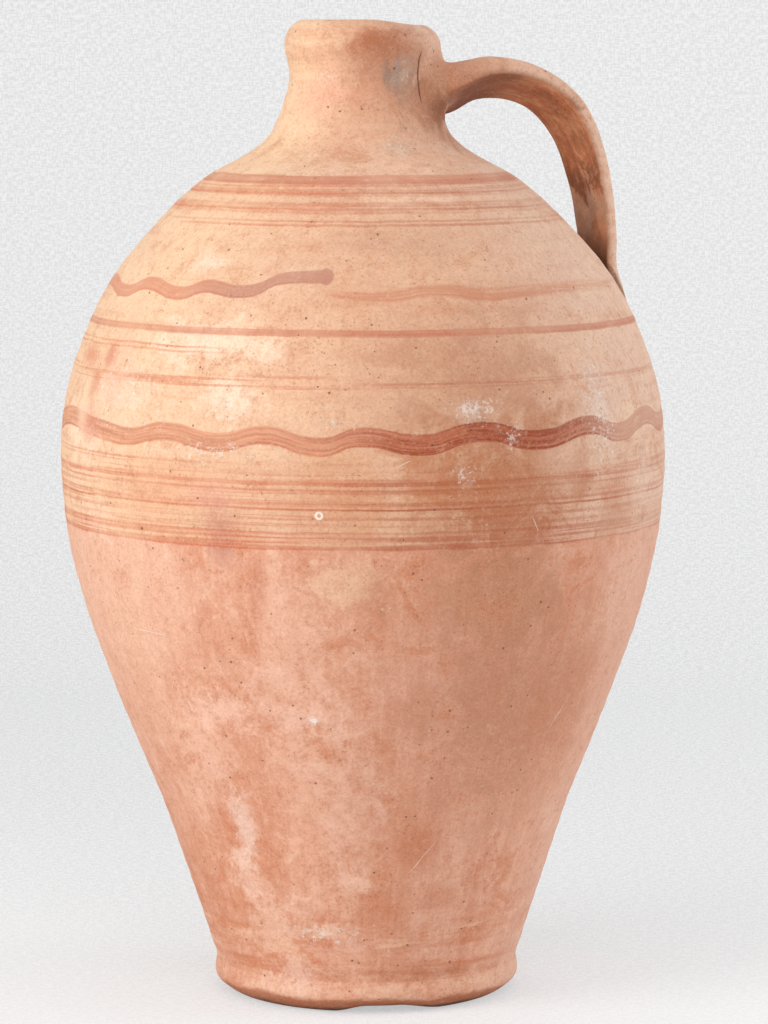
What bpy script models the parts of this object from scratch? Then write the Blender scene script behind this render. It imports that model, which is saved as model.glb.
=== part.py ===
"""One-handled earthenware water pitcher, as the clay members that a potter makes and lutes together.

The pot's axis is Z, its rest face lies at height zero, and the handle points along +X.
The foot slab, the two thrown walls, the neck and the rim are spun from one outline. Each seats on
the one below with a V-shaped lute. The strap handle is swept along its arch with a taper and a
twist. A collar of luting clay holds its root on the neck, and a thin bed holds its tail.
"""
import math

import bmesh
import bpy
from mathutils import Vector

MM = 0.001

# Driving sizes of the pot: how wide it is, and how far each part of it rises over the last
BELLY_RADIUS = 140.2 * MM
SHOULDER_TOP_RADIUS = 58.6 * MM
NECK_WAIST_RADIUS = 32.9 * MM
BELLY_HEIGHT = 250 * MM
SHOULDER_RISE = 136 * MM
NECK_RISE = 40 * MM
FLARE_RISE = 5.5 * MM
RIM_HEIGHT = 18.5 * MM

# Foot slab
FOOT_RADIUS = 70.5 * MM
FOOT_HEIGHT = 15 * MM
FOOT_CREASE_RADIUS = 70 * MM
REST_RADIUS = 65.3 * MM
REST_RING_WIDTH = 16 * MM
KICK_UP = 3 * MM
FLOOR_THICKNESS = 14 * MM
SEAT_RISE = 3 * MM

# Walls
FOOT_WALL = 11 * MM
BELLY_WALL = 7.5 * MM
NECK_WALL = 6.6 * MM
BELLY_JOINT_DROP = 8 * MM
FINGER_RING_PITCH = 28 * MM
FINGER_RING_DEPTH = 1.2 * MM

# Rolled rim
RIM_RADIUS = 35.9 * MM
RIM_CREASE_RADIUS = 33.9 * MM
MOUTH_RADIUS = 26.2 * MM
NECK_TONGUE_WIDTH = 2.6 * MM
NECK_TONGUE_HEIGHT = 9 * MM

# Joints between the members
LUTE_DEPTH = 2.6 * MM
CLEARANCE = 0.3 * MM

# Strap handle: its arch and root hang from the neck's waist, its lift from the shoulder's top
ARCH_DROP = 6 * MM
ROOT_DROP = 14 * MM
LIFT_DROP = 55 * MM
TAIL_LENGTH = 26 * MM
ROOT_SIDE_SHIFT = 9 * MM
ROOT_WIDTH = 37 * MM
TAIL_WIDTH = 33 * MM
ROOT_THICKNESS = 14 * MM
ARCH_THICKNESS = 9.5 * MM
GRIP_THICKNESS = 7 * MM
TAIL_THICKNESS = 6.5 * MM
TAIL_TIP_THICKNESS = 4.6 * MM
TAIL_SINK = 0.8 * MM
ROOT_TWIST = math.radians(20)
TAIL_TWIST = math.radians(-4)

# Luting clay
COLLAR_REACH = 13 * MM
COLLAR_LIP = 1.4 * MM
COLLAR_MARGIN = 1 * MM
COLLAR_CLIMB = 10.5 * MM
COLLAR_DROP = 26 * MM
COLLAR_NEAR_SPREAD = math.radians(64)
COLLAR_FAR_SPREAD = math.radians(56)
TAIL_BED = 1.5 * MM
TAIL_BED_MARGIN = 0.8 * MM
TAIL_BED_BORDER = 2.5 * MM
SMEAR_DEPTH = 3 * MM

# Heights that follow from the sizes above
SHOULDER_TOP_HEIGHT = BELLY_HEIGHT + SHOULDER_RISE
NECK_WAIST_HEIGHT = SHOULDER_TOP_HEIGHT + NECK_RISE
RIM_BASE_HEIGHT = NECK_WAIST_HEIGHT + FLARE_RISE
HEIGHT = RIM_BASE_HEIGHT + RIM_HEIGHT
BELLY_JOINT_HEIGHT = BELLY_HEIGHT - BELLY_JOINT_DROP
ARCH_HEIGHT = NECK_WAIST_HEIGHT - ARCH_DROP
STRAP_ROOT_HEIGHT = NECK_WAIST_HEIGHT - ROOT_DROP
STRAP_LIFT_HEIGHT = SHOULDER_TOP_HEIGHT - LIFT_DROP
STRAP_TAIL_HEIGHT = STRAP_LIFT_HEIGHT - TAIL_LENGTH
COLLAR_TOP_HEIGHT = RIM_BASE_HEIGHT + COLLAR_CLIMB
COLLAR_FOOT_HEIGHT = NECK_WAIST_HEIGHT - COLLAR_DROP

# Fineness of the mesh, and how far a cutter runs past what it cuts
TURN_STEPS = 44
CURVE_STEPS = 12
WALL_SPANS = 13
NECK_SPANS = 8
STRAP_STATIONS = 34
COLLAR_RINGS = 6
BED_RAYS = 20
BED_RINGS = 3
OVERRUN = 10 * MM
WELD = 0.01 * MM
SHARP_ANGLE = math.radians(35)

# Outline from the foot's crease to the belly: share of the rise, share of the swell
LOWER_OUTLINE_SHARES = (
    (0.0, 0.0),
    (0.19, 0.203),
    (0.38, 0.434),
    (0.57, 0.687),
    (0.76, 0.893),
    (0.9, 0.974),
)
# From the belly to the shoulder's top: share of the rise, share of the drawing in
UPPER_OUTLINE_SHARES = (
    (0.0, 0.0),
    (0.18, 0.026),
    (0.37, 0.115),
    (0.53, 0.237),
    (0.68, 0.399),
    (0.8, 0.57),
    (0.895, 0.733),
    (0.958, 0.87),
)
# From the shoulder's top to the neck's waist: share of the rise, share of the drawing in
NECK_OUTLINE_SHARES = (
    (0.0, 0.0),
    (0.15, 0.38),
    (0.3, 0.64),
    (0.5, 0.8),
    (0.73, 0.925),
    (1.0, 1.0),
)
# Flange of the foot, from the rest face up: share of its height, share of its bulge
FLANGE_SHARES = (
    (0.0, 0.0),
    (0.13, 0.29),
    (0.27, 0.62),
    (0.42, 0.87),
    (0.6, 1.0),
    (0.82, 0.96),
)
# Rolled lip's top, from its flat outwards: share of its height, share of the clay's width
LIP_TOP_SHARES = (
    (1.0, 0.54),
    (0.955, 0.74),
    (0.84, 0.9),
)
# Rolled lip's side, going down: share of its height, share of its bulge past the crease
LIP_ROLL_SHARES = (
    (0.64, 0.9),
    (0.38, 1.0),
    (0.16, 0.6),
)
# Inside of the lip, going up: share of its height, share of the clay's width
LIP_THROAT_SHARES = (
    (0.8, 0.0),
    (0.94, 0.06),
    (1.0, 0.22),
)
# Middle of the strap's inner face, root to lift: share of the reach, share of the arch's rise
STRAP_PATH_SHARES = (
    (0.09, 0.91),
    (0.29, 0.98),
    (0.51, 0.965),
    (0.7, 0.88),
    (0.85, 0.71),
    (0.945, 0.46),
    (0.99, 0.18),
)
# Half of the strap's section, inner face to back: share of the half width, share of the thickness
STRAP_SECTION_SHARES = (
    (0.0, 0.05),
    (0.45, 0.03),
    (0.8, 0.0),
    (0.95, 0.05),
    (1.0, 0.22),
    (1.0, 0.42),
    (0.96, 0.62),
    (0.83, 0.8),
    (0.5, 0.95),
    (0.0, 1.0),
)
# Shares of the strap's length, root to tip, where it reaches each of its thicknesses
ROOT_END_SHARE = 0.12
ARCH_SHARE = 0.35
GRIP_SHARE = 0.68
TAIL_SHARE = 0.88
# Single shares: V lute of the wall, hollow of a finger ring, tail bed's top of its size,
# kick-up at half of its radius, and where the tail's lowest span is steered
LUTE_WIDTH_SHARE = 0.56
RING_HOLLOW_SHARE = 0.5
BED_TOP_SHARE = 0.8
KICK_MIDDLE_SHARE = 0.8
TAIL_MIDDLE_SHARE = 0.45

CLAY = {
    "foot_slab": (0.54, 0.27, 0.17),
    "lower_wall": (0.62, 0.31, 0.19),
    "upper_wall": (0.68, 0.42, 0.28),
    "neck": (0.64, 0.38, 0.25),
    "rim": (0.6, 0.33, 0.21),
    "strap_handle": (0.63, 0.39, 0.25),
    "handle_root": (0.57, 0.32, 0.2),
    "tail_lute": (0.52, 0.33, 0.23),
}


def between(low, high, share):
    return low + (high - low) * share


def smooth_curve(points, steps=CURVE_STEPS):
    """Centripetal Catmull-Rom curve through the points, with a number of steps for each span."""
    knots = [Vector(point) for point in points]
    knots = [2 * knots[0] - knots[1]] + knots + [2 * knots[-1] - knots[-2]]
    curve = []
    for a, b, c, d in zip(knots, knots[1:], knots[2:], knots[3:]):
        at_b = math.sqrt((b - a).length)
        at_c = at_b + math.sqrt((c - b).length)
        at_d = at_c + math.sqrt((d - c).length)
        for step in range(steps):
            at = between(at_b, at_c, step / steps)
            ab = a.lerp(b, at / at_b)
            bc = b.lerp(c, (at - at_b) / (at_c - at_b))
            cd = c.lerp(d, (at - at_c) / (at_d - at_c))
            abc = ab.lerp(bc, at / at_c)
            bcd = bc.lerp(cd, (at - at_b) / (at_d - at_b))
            curve.append(abc.lerp(bcd, (at - at_b) / (at_c - at_b)))
    curve.append(knots[-2])
    return curve


def even_points(curve, count):
    """Points at equal distances along a curve, its two ends included."""
    lengths = [0.0]
    for here, there in zip(curve, curve[1:]):
        lengths.append(lengths[-1] + (there - here).length)
    points = []
    span = 0
    for index in range(count + 1):
        target = lengths[-1] * index / count
        while span < len(curve) - 2 and lengths[span + 1] < target:
            span += 1
        share = (target - lengths[span]) / (lengths[span + 1] - lengths[span])
        points.append(curve[span].lerp(curve[span + 1], share))
    return points


def table_points(shares, start, end):
    """(radius, height) points of a table whose rows hold height and radius shares."""
    return [(between(start[0], end[0], out), between(start[1], end[1], up)) for up, out in shares]


def pot_outline():
    """The whole outer outline, foot crease to rim crease, as (radius, height) points."""
    crease = (FOOT_CREASE_RADIUS, FOOT_HEIGHT)
    belly = (BELLY_RADIUS, BELLY_HEIGHT)
    shoulder = (SHOULDER_TOP_RADIUS, SHOULDER_TOP_HEIGHT)
    waist = (NECK_WAIST_RADIUS, NECK_WAIST_HEIGHT)
    points = table_points(LOWER_OUTLINE_SHARES, crease, belly)
    points += table_points(UPPER_OUTLINE_SHARES, belly, shoulder)
    points += table_points(NECK_OUTLINE_SHARES, shoulder, waist)
    points.append((RIM_CREASE_RADIUS, RIM_BASE_HEIGHT))
    return smooth_curve(points)


OUTLINE = pot_outline()


def outline_span(height):
    """The outline's two neighbouring points round a height, and the share between them."""
    for low, high in zip(OUTLINE, OUTLINE[1:]):
        if height <= high.y:
            return low, high, (height - low.y) / (high.y - low.y)
    return OUTLINE[-2], OUTLINE[-1], 1.0


def skin_point(height):
    low, high, share = outline_span(height)
    return low.lerp(high, share)


def skin_up(height):
    low, high, share = outline_span(height)
    return (high - low).normalized()


def skin_out(height):
    up = skin_up(height)
    return Vector((up.y, -up.x))


def wall_at(height):
    """Wall thickness at a height: it thins from the foot to the belly, and again to the neck."""
    if height < BELLY_HEIGHT:
        share = (height - FOOT_HEIGHT) / (BELLY_HEIGHT - FOOT_HEIGHT)
        return between(FOOT_WALL, BELLY_WALL, max(share, 0.0))
    share = (height - BELLY_HEIGHT) / (NECK_WAIST_HEIGHT - BELLY_HEIGHT)
    return between(BELLY_WALL, NECK_WALL, min(share, 1.0))


def outer_side(low, high, spans):
    """Outer side of a wall between two heights, top to bottom."""
    inside = [point for point in OUTLINE if low < point.y < high]
    return even_points([skin_point(low)] + inside + [skin_point(high)], spans)[::-1]


def inner_side(low, high, spans):
    """Inner side of a wall between two heights, bottom to top, at the wall's own thickness."""
    side = outer_side(low, high, spans)[::-1]
    return [point - skin_out(point.y) * wall_at(point.y) for point in side]


def shoulder_side():
    return outer_side(BELLY_JOINT_HEIGHT, SHOULDER_TOP_HEIGHT, WALL_SPANS)


def neck_side():
    return outer_side(SHOULDER_TOP_HEIGHT, RIM_BASE_HEIGHT, NECK_SPANS)


def finger_rings(side):
    """Rings that the potter's fingers leave: a hollow between each two crests of the inner side."""
    length = sum((there - here).length for here, there in zip(side, side[1:]))
    rings = max(2, round(length / FINGER_RING_PITCH))
    crests = even_points(side, rings)
    ringed = [crests[0]]
    for here, there in zip(crests, crests[1:]):
        along = (there - here).normalized()
        into_wall = Vector((along.y, -along.x))
        ringed.append(here.lerp(there, RING_HOLLOW_SHARE) + into_wall * FINGER_RING_DEPTH)
        ringed.append(there)
    return ringed


def lute(outer, inner, up, gap):
    """Joint face, outer edge to inner edge: a V tongue down the wall, or its groove with a gap."""
    across = (inner - outer).normalized()
    middle = (outer + inner) / 2
    half = (inner - outer).length * LUTE_WIDTH_SHARE / 2
    slope = math.atan2(LUTE_DEPTH, half)
    corner = half + gap * math.tan(slope / 2)
    drop = up * gap
    return [
        outer - drop,
        middle - across * corner - drop,
        middle - up * (LUTE_DEPTH + gap / math.cos(slope)),
        middle + across * corner - drop,
        inner - drop,
    ]


def wall_lute(height, gap):
    outer = skin_point(height)
    inner = outer - skin_out(height) * wall_at(height)
    return lute(outer, inner, skin_up(height), gap)


def seat_lute(gap):
    """Level joint on the foot slab, whose inner edge meets the raised floor."""
    outer = Vector((FOOT_CREASE_RADIUS, FOOT_HEIGHT))
    inner = Vector((FOOT_CREASE_RADIUS - FOOT_WALL, FOOT_HEIGHT))
    return lute(outer, inner, Vector((0, 1)), gap)


def foot_slab_profile():
    seat = seat_lute(CLEARANCE)
    floor_height = KICK_UP + FLOOR_THICKNESS
    floor_radius = FOOT_CREASE_RADIUS - FOOT_WALL - CLEARANCE
    floor_edge = floor_height - SEAT_RISE / 2
    rest = (REST_RADIUS, 0)
    flange = table_points(FLANGE_SHARES, (REST_RADIUS, 0), (FOOT_RADIUS, FOOT_HEIGHT))
    profile = [
        (0, floor_height),
        (floor_radius - SEAT_RISE, floor_height),
        (floor_radius, floor_edge),
        (floor_radius, seat[-1].y),
    ]
    profile += [tuple(point) for point in seat[-2::-1]]
    profile += flange[:0:-1]
    profile += [rest, (REST_RADIUS - REST_RING_WIDTH, 0)]
    profile += [((REST_RADIUS - REST_RING_WIDTH) / 2, KICK_UP * KICK_MIDDLE_SHARE), (0, KICK_UP)]
    return profile


def lower_wall_profile():
    inner_foot = Vector((FOOT_CREASE_RADIUS - FOOT_WALL, FOOT_HEIGHT))
    inner = [inner_foot] + inner_side(FOOT_HEIGHT + FLOOR_THICKNESS, BELLY_JOINT_HEIGHT, WALL_SPANS)
    outer = outer_side(FOOT_HEIGHT, BELLY_JOINT_HEIGHT, WALL_SPANS)
    return outer[1:-1] + seat_lute(0) + finger_rings(inner)[1:-1] + wall_lute(BELLY_JOINT_HEIGHT, CLEARANCE)[::-1]


def upper_wall_profile():
    inner = finger_rings(inner_side(BELLY_JOINT_HEIGHT, SHOULDER_TOP_HEIGHT, WALL_SPANS))
    low = wall_lute(BELLY_JOINT_HEIGHT, 0)
    high = wall_lute(SHOULDER_TOP_HEIGHT, CLEARANCE)
    return shoulder_side()[1:-1] + low + inner[1:-1] + high[::-1]


def neck_tongue(gap):
    """The neck's thin top edge, outer ledge to inner ledge, that the rolled lip folds over."""
    base = RIM_BASE_HEIGHT + gap
    middle = RIM_CREASE_RADIUS - NECK_WALL / 2
    half = NECK_TONGUE_WIDTH / 2 + gap
    top = base + NECK_TONGUE_HEIGHT
    return [
        Vector((middle + half, base)),
        Vector((middle + half, top - half)),
        Vector((middle + half / 2, top)),
        Vector((middle - half / 2, top)),
        Vector((middle - half, top - half)),
        Vector((middle - half, base)),
    ]


def neck_profile():
    inner = inner_side(SHOULDER_TOP_HEIGHT, RIM_BASE_HEIGHT, NECK_SPANS)
    ledge = Vector((RIM_CREASE_RADIUS - NECK_WALL, RIM_BASE_HEIGHT))
    low = wall_lute(SHOULDER_TOP_HEIGHT, 0)
    return neck_side()[:-1] + low + inner[1:-1] + [ledge] + neck_tongue(0)[::-1]


def lip_outer():
    """Outer side of the rolled lip, from its flat top's outer edge down to its crease."""
    shoulder = table_points(LIP_TOP_SHARES, (MOUTH_RADIUS, RIM_BASE_HEIGHT), (RIM_RADIUS, HEIGHT))
    roll = table_points(LIP_ROLL_SHARES, (RIM_CREASE_RADIUS, RIM_BASE_HEIGHT), (RIM_RADIUS, HEIGHT))
    return [Vector(point) for point in shoulder + roll + [(RIM_CREASE_RADIUS, RIM_BASE_HEIGHT + CLEARANCE)]]


def lip_inner():
    """Inner side of the rolled lip, from its lower edge up to its flat top's inner edge."""
    edge = (RIM_CREASE_RADIUS - NECK_WALL, RIM_BASE_HEIGHT + CLEARANCE)
    throat = table_points(LIP_THROAT_SHARES, (MOUTH_RADIUS, RIM_BASE_HEIGHT), (RIM_RADIUS, HEIGHT))
    return [Vector(point) for point in [edge] + throat]


def rim_profile():
    return lip_outer() + neck_tongue(CLEARANCE) + lip_inner()


def new_object(name, shape):
    """Object from a bmesh: welded, faces out, smooth but for its sharp edges."""
    bmesh.ops.remove_doubles(shape, verts=shape.verts, dist=WELD)
    bmesh.ops.recalc_face_normals(shape, faces=shape.faces)
    mesh = bpy.data.meshes.new(name)
    shape.to_mesh(mesh)
    shape.free()
    mesh.shade_smooth()
    mesh.set_sharp_from_angle(angle=SHARP_ANGLE)
    member = bpy.data.objects.new(name, mesh)
    bpy.context.scene.collection.objects.link(member)
    return member


def turned(name, profile):
    """A profile spun once round the pot's axis. An end that lies on the axis closes there."""
    shape = bmesh.new()
    ring = [shape.verts.new((radius, 0, height)) for radius, height in profile]
    edges = [shape.edges.new(pair) for pair in zip(ring, ring[1:])]
    if profile[0][0] > 0:
        edges.append(shape.edges.new((ring[-1], ring[0])))
    bmesh.ops.spin(
        shape, geom=ring + edges, axis=(0, 0, 1), cent=(0, 0, 0), angle=math.tau, steps=TURN_STEPS, use_merge=True
    )
    return new_object(name, shape)


def skin_solid(name, side, grow):
    """Cutter for what seats on the pot: the solid inside a side, which is grown outwards first."""
    grown = [point + skin_out(point.y) * grow for point in side]
    return turned(name, [(0, grown[0].y)] + [tuple(point) for point in grown] + [(0, grown[-1].y)])


def neck_solid(name, grow):
    """Cutter of the neck and the rolled lip, grown outwards and open at the top."""
    lip = [point + Vector((grow, 0)) for point in lip_outer()[:-1]]
    side = lip + [point + skin_out(point.y) * grow for point in neck_side()]
    top = HEIGHT + OVERRUN
    profile = [(0, top), (side[0].x, top)] + [tuple(point) for point in side] + [(0, side[-1].y)]
    return turned(name, profile)


def strap_path():
    """Middle of the strap's inner face, from inside the neck's wall to the tail on the shoulder."""
    reach = skin_point(STRAP_LIFT_HEIGHT).x
    points = [(NECK_WAIST_RADIUS - NECK_WALL / 2, STRAP_ROOT_HEIGHT)]
    for out, up in STRAP_PATH_SHARES:
        points.append((between(NECK_WAIST_RADIUS, reach, out), between(STRAP_LIFT_HEIGHT, ARCH_HEIGHT, up)))
    for height in (between(STRAP_LIFT_HEIGHT, STRAP_TAIL_HEIGHT, TAIL_MIDDLE_SHARE), STRAP_TAIL_HEIGHT):
        points.append(tuple(skin_point(height) - skin_out(height) * TAIL_SINK))
    return even_points(smooth_curve(points), STRAP_STATIONS)


def strap_thickness(share):
    """Thickness of the strap at a share of its length, root to tip."""
    knots = (
        (0.0, ROOT_THICKNESS),
        (ROOT_END_SHARE, ROOT_THICKNESS),
        (ARCH_SHARE, ARCH_THICKNESS),
        (GRIP_SHARE, GRIP_THICKNESS),
        (TAIL_SHARE, TAIL_THICKNESS),
        (1.0, TAIL_TIP_THICKNESS),
    )
    for (low, thick), (high, thin) in zip(knots, knots[1:]):
        if share <= high:
            return between(thick, thin, (share - low) / (high - low))
    return TAIL_TIP_THICKNESS


def strap_rings(grow):
    """Cross-sections of the strap, root to tail, as lists of points; grow thickens it all round."""
    path = strap_path()
    half_section = list(STRAP_SECTION_SHARES)
    section = half_section + [(-side, up) for side, up in half_section[-2:0:-1]]
    rings = []
    for index, point in enumerate(path):
        share = index / STRAP_STATIONS
        ahead = path[min(index + 1, STRAP_STATIONS)] - path[max(index - 1, 0)]
        along = Vector((ahead.x, 0, ahead.y)).normalized()
        back = Vector((-along.z, 0, along.x))
        side = Vector((0, -1, 0))
        twist = between(ROOT_TWIST, TAIL_TWIST, share)
        across = side * math.cos(twist) + back * math.sin(twist)
        outward = back * math.cos(twist) - side * math.sin(twist)
        middle = Vector((point.x, -ROOT_SIDE_SHIFT * (1 - share), point.y))
        half = between(ROOT_WIDTH, TAIL_WIDTH, share) / 2 + grow
        thickness = strap_thickness(share) + 2 * grow
        rings.append([middle + across * half * out + outward * (thickness * up - grow) for out, up in section])
    return rings


def lofted(name, rings):
    """Closed solid through rings of points, each with as many points as the next."""
    shape = bmesh.new()
    loops = [[shape.verts.new(point) for point in ring] for ring in rings]
    for low, high in zip(loops, loops[1:]):
        for here in range(len(low)):
            shape.faces.new((low[here - 1], low[here], high[here], high[here - 1]))
    shape.faces.new(loops[0])
    shape.faces.new(loops[-1])
    return new_object(name, shape)


def skin_radius(height):
    """Outer radius of the pot at a height, the rolled lip included."""
    if height <= OUTLINE[-1].y:
        return skin_point(height).x
    lip = lip_outer()[::-1]
    for low, high in zip(lip, lip[1:]):
        if low.y <= height <= high.y:
            return low.lerp(high, (height - low.y) / (high.y - low.y)).x
    return RIM_RADIUS


def on_skin(angle, height, rise):
    radius = skin_radius(height) + rise
    return Vector((radius * math.cos(angle), radius * math.sin(angle), height))


def lifted(point, rise):
    """The point, moved out from the axis until it stands clear of the skin by a rise."""
    radius = math.hypot(point.x, point.y)
    target = max(radius, skin_radius(point.z) + rise)
    return Vector((point.x * target / radius, point.y * target / radius, point.z))


def strap_ring_at(reach, grow):
    """The strap's cross-section, thickened by grow, where its path is a reach out from the axis."""
    path = strap_path()
    station = min(range(len(path)), key=lambda index: abs(path[index].x - reach))
    return strap_rings(grow)[station]


def collar_margin(count):
    """Edge of the collar on the skin: angles and heights, one for each point of the strap's section."""
    half_height = (COLLAR_TOP_HEIGHT - COLLAR_FOOT_HEIGHT) / 2
    centre = COLLAR_FOOT_HEIGHT + half_height
    points = []
    for index in range(count):
        turn = -math.tau * (index / count + 1 / 4)
        spread = COLLAR_FAR_SPREAD if math.cos(turn) > 0 else COLLAR_NEAR_SPREAD
        points.append((spread * math.cos(turn), centre + half_height * math.sin(turn)))
    return points


def collar_rings():
    """Rings from inside the neck's wall, out over the margin, and up a hollow fillet to the strap."""
    corner = strap_ring_at(NECK_WAIST_RADIUS, COLLAR_LIP)
    lip = strap_ring_at(NECK_WAIST_RADIUS + COLLAR_REACH, COLLAR_LIP)
    margin = collar_margin(len(corner))
    rings = [[on_skin(angle, height, -SMEAR_DEPTH) for angle, height in margin]]
    for index in range(COLLAR_RINGS + 1):
        share = index / COLLAR_RINGS
        ring = []
        for (angle, height), root, end in zip(margin, corner, lip):
            edge = on_skin(angle, height, COLLAR_MARGIN)
            ring.append(lifted(edge.lerp(root, share).lerp(root.lerp(end, share), share), COLLAR_MARGIN))
        rings.append(ring)
    return rings


def bed_ring(size_share, rise):
    """Ring over the shoulder, square with round corners, round the middle of the strap's tail."""
    low = STRAP_TAIL_HEIGHT - TAIL_BED_BORDER
    middle = (low + STRAP_LIFT_HEIGHT) / 2
    half_angle = (TAIL_WIDTH / 2 + TAIL_BED_BORDER) / skin_radius(middle)
    half_height = (STRAP_LIFT_HEIGHT - low) / 2
    ring = []
    for ray in range(BED_RAYS):
        turn = math.tau * (ray + 0.5) / BED_RAYS
        across = math.copysign(math.sqrt(abs(math.cos(turn))), math.cos(turn))
        up = math.copysign(math.sqrt(abs(math.sin(turn))), math.sin(turn))
        ring.append(on_skin(half_angle * across * size_share, middle + half_height * up * size_share, rise))
    return ring


def bed_rings():
    """Rings from under the skin, out over the bed's margin, and up past its flat top."""
    rings = [bed_ring(1, -SMEAR_DEPTH)]
    for index in range(BED_RINGS):
        share = index / (BED_RINGS - 1)
        rings.append(bed_ring(between(1, BED_TOP_SHARE, share), between(TAIL_BED_MARGIN, 2 * TAIL_BED, share)))
    return rings


def cut(member, cutter, operation="DIFFERENCE"):
    modifier = member.modifiers.new("cut by " + cutter.name, "BOOLEAN")
    modifier.operation = operation
    modifier.solver = "EXACT"
    modifier.object = cutter
    cutter.hide_render = True
    cutter.display_type = "WIRE"


def fire(member):
    """The fired clay's colour for one member."""
    material = bpy.data.materials.new(member.name)
    material.use_nodes = True
    surface = material.node_tree.nodes["Principled BSDF"]
    surface.inputs["Base Color"].default_value = (*CLAY[member.name], 1)
    surface.inputs["Roughness"].default_value = 0.85
    surface.inputs["Metallic"].default_value = 0
    member.data.materials.append(material)


def throw_pot():
    return [
        turned("foot_slab", foot_slab_profile()),
        turned("lower_wall", lower_wall_profile()),
        turned("upper_wall", upper_wall_profile()),
        turned("neck", neck_profile()),
        turned("rim", rim_profile()),
    ]


def pull_handle():
    strap = lofted("strap_handle", strap_rings(0))
    neck_skin = neck_solid("neck_cutter", CLEARANCE)
    cut(strap, neck_skin)
    cut(strap, skin_solid("strap_bed_cutter", shoulder_side(), 2 * CLEARANCE + TAIL_BED))

    collar = lofted("handle_root", collar_rings())
    cut(collar, neck_skin)
    cut(collar, lofted("strap_cutter", strap_rings(CLEARANCE)))
    return [strap, collar]


def bed_tail():
    bed = lofted("tail_lute", bed_rings())
    cut(bed, skin_solid("bed_top_cutter", shoulder_side(), CLEARANCE + TAIL_BED), "INTERSECT")
    cut(bed, skin_solid("bed_skin_cutter", shoulder_side(), CLEARANCE))
    return [bed]


def main():
    for leftover in list(bpy.data.objects):
        bpy.data.objects.remove(leftover)
    for member in throw_pot() + pull_handle() + bed_tail():
        fire(member)


main()
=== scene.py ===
import math

import bmesh
import bpy
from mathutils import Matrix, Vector, noise
from mathutils.bvhtree import BVHTree


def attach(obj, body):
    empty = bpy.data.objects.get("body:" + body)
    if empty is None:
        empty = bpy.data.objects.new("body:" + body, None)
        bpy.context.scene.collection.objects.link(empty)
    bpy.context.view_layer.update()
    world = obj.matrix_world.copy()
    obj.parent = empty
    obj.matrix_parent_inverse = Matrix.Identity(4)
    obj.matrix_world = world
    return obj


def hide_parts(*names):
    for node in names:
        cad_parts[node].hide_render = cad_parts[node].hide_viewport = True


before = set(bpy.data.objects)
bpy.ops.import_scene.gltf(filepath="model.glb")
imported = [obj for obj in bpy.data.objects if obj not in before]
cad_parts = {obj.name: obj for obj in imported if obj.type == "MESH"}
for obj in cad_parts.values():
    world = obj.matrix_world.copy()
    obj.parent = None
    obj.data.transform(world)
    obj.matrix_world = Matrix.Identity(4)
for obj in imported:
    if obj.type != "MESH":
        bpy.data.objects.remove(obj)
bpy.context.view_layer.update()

MM = 0.001

# Where the camera stands round the pot, and the photograph's own across and toward
VIEW_TURN = math.radians(-110)
TOWARD = Vector((math.cos(VIEW_TURN), math.sin(VIEW_TURN), 0))
ACROSS = Vector((-math.sin(VIEW_TURN), math.cos(VIEW_TURN), 0))

# Heights in millimetres where the members meet, and of the pot's middle, waist and top
SEAT = 15
BELLY_JOINT = 242
BELLY = 250
WALL_TOP = 386
NECK_WAIST = 426
RIM_BASE = 431.5
TOP = 450

FOOT_WALL = 11
BELLY_WALL = 7.5
NECK_WALL = 6.6

# How finely the thrown walls are divided: columns round, and millimetres between rows
COLUMNS = 256
ROW_STEP = 1.7

# Outer side of the pot, foot crease to rim crease: height and radius in millimetres
OUTSIDE = (
    (15, 69.7), (17.5, 70.0), (22, 71.7), (35, 75.8), (60, 84.1), (90, 94.3), (120, 106.6), (150, 118.2),
    (180, 128.8), (210, 136.1), (232, 138.8), (250, 139.75), (268, 138.7), (286, 135.4), (304, 129.3),
    (322, 121.2), (338, 111.2), (354, 97.3), (368, 83.6), (379, 69.8), (388, 53.3), (396, 42.8),
    (405, 38.0), (415, 35.0), (423, 33.4), (431.5, 34.4),
)
# Foot below its crease, and the rolled lip above its own, rest face and mouth included
FOOT = (
    (0, 60.5), (0.7, 62.6), (2, 65.0), (3.6, 67.2), (5.5, 69.2), (7.5, 70.3), (10, 70.6), (12.5, 70.3),
    (15, 69.7),
)
LIP = (
    (431.5, 34.4), (433, 35.0), (436, 35.7), (440, 35.6), (443, 35.1), (445.5, 33.9), (447.6, 32.0),
    (449.1, 29.8), (449.9, 27.9), (450, 27.0), (449.6, 26.0), (448.4, 25.2), (446, 24.9), (440, 25.6),
    (431.5, 27.2),
)
# How far the finished pot leans to the photograph's right: height and shift in millimetres
LEAN = (
    (0, 1.45), (20, 1.4), (120, 0.65), (250, 0.0), (330, -0.15), (375, -0.95), (390, -1.15), (410, -0.75),
    (430, -0.15), (450, -0.15),
)


def curve_through(points, steps):
    """Centripetal Catmull-Rom curve through points, with a number of steps for each span."""
    knots = [Vector(point) for point in points]
    knots = [2 * knots[0] - knots[1]] + knots + [2 * knots[-1] - knots[-2]]
    curve = []
    for a, b, c, d in zip(knots, knots[1:], knots[2:], knots[3:]):
        tb = math.sqrt((b - a).length)
        tc = tb + math.sqrt((c - b).length)
        td = tc + math.sqrt((d - c).length)
        for step in range(steps):
            t = tb + (tc - tb) * step / steps
            ab = a.lerp(b, t / tb)
            bc = b.lerp(c, (t - tb) / (tc - tb))
            cd = c.lerp(d, (t - tc) / (td - tc))
            curve.append(ab.lerp(bc, t / tc).lerp(bc.lerp(cd, (t - tb) / (td - tb)), (t - tb) / (tc - tb)))
    curve.append(knots[-2])
    return curve


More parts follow.
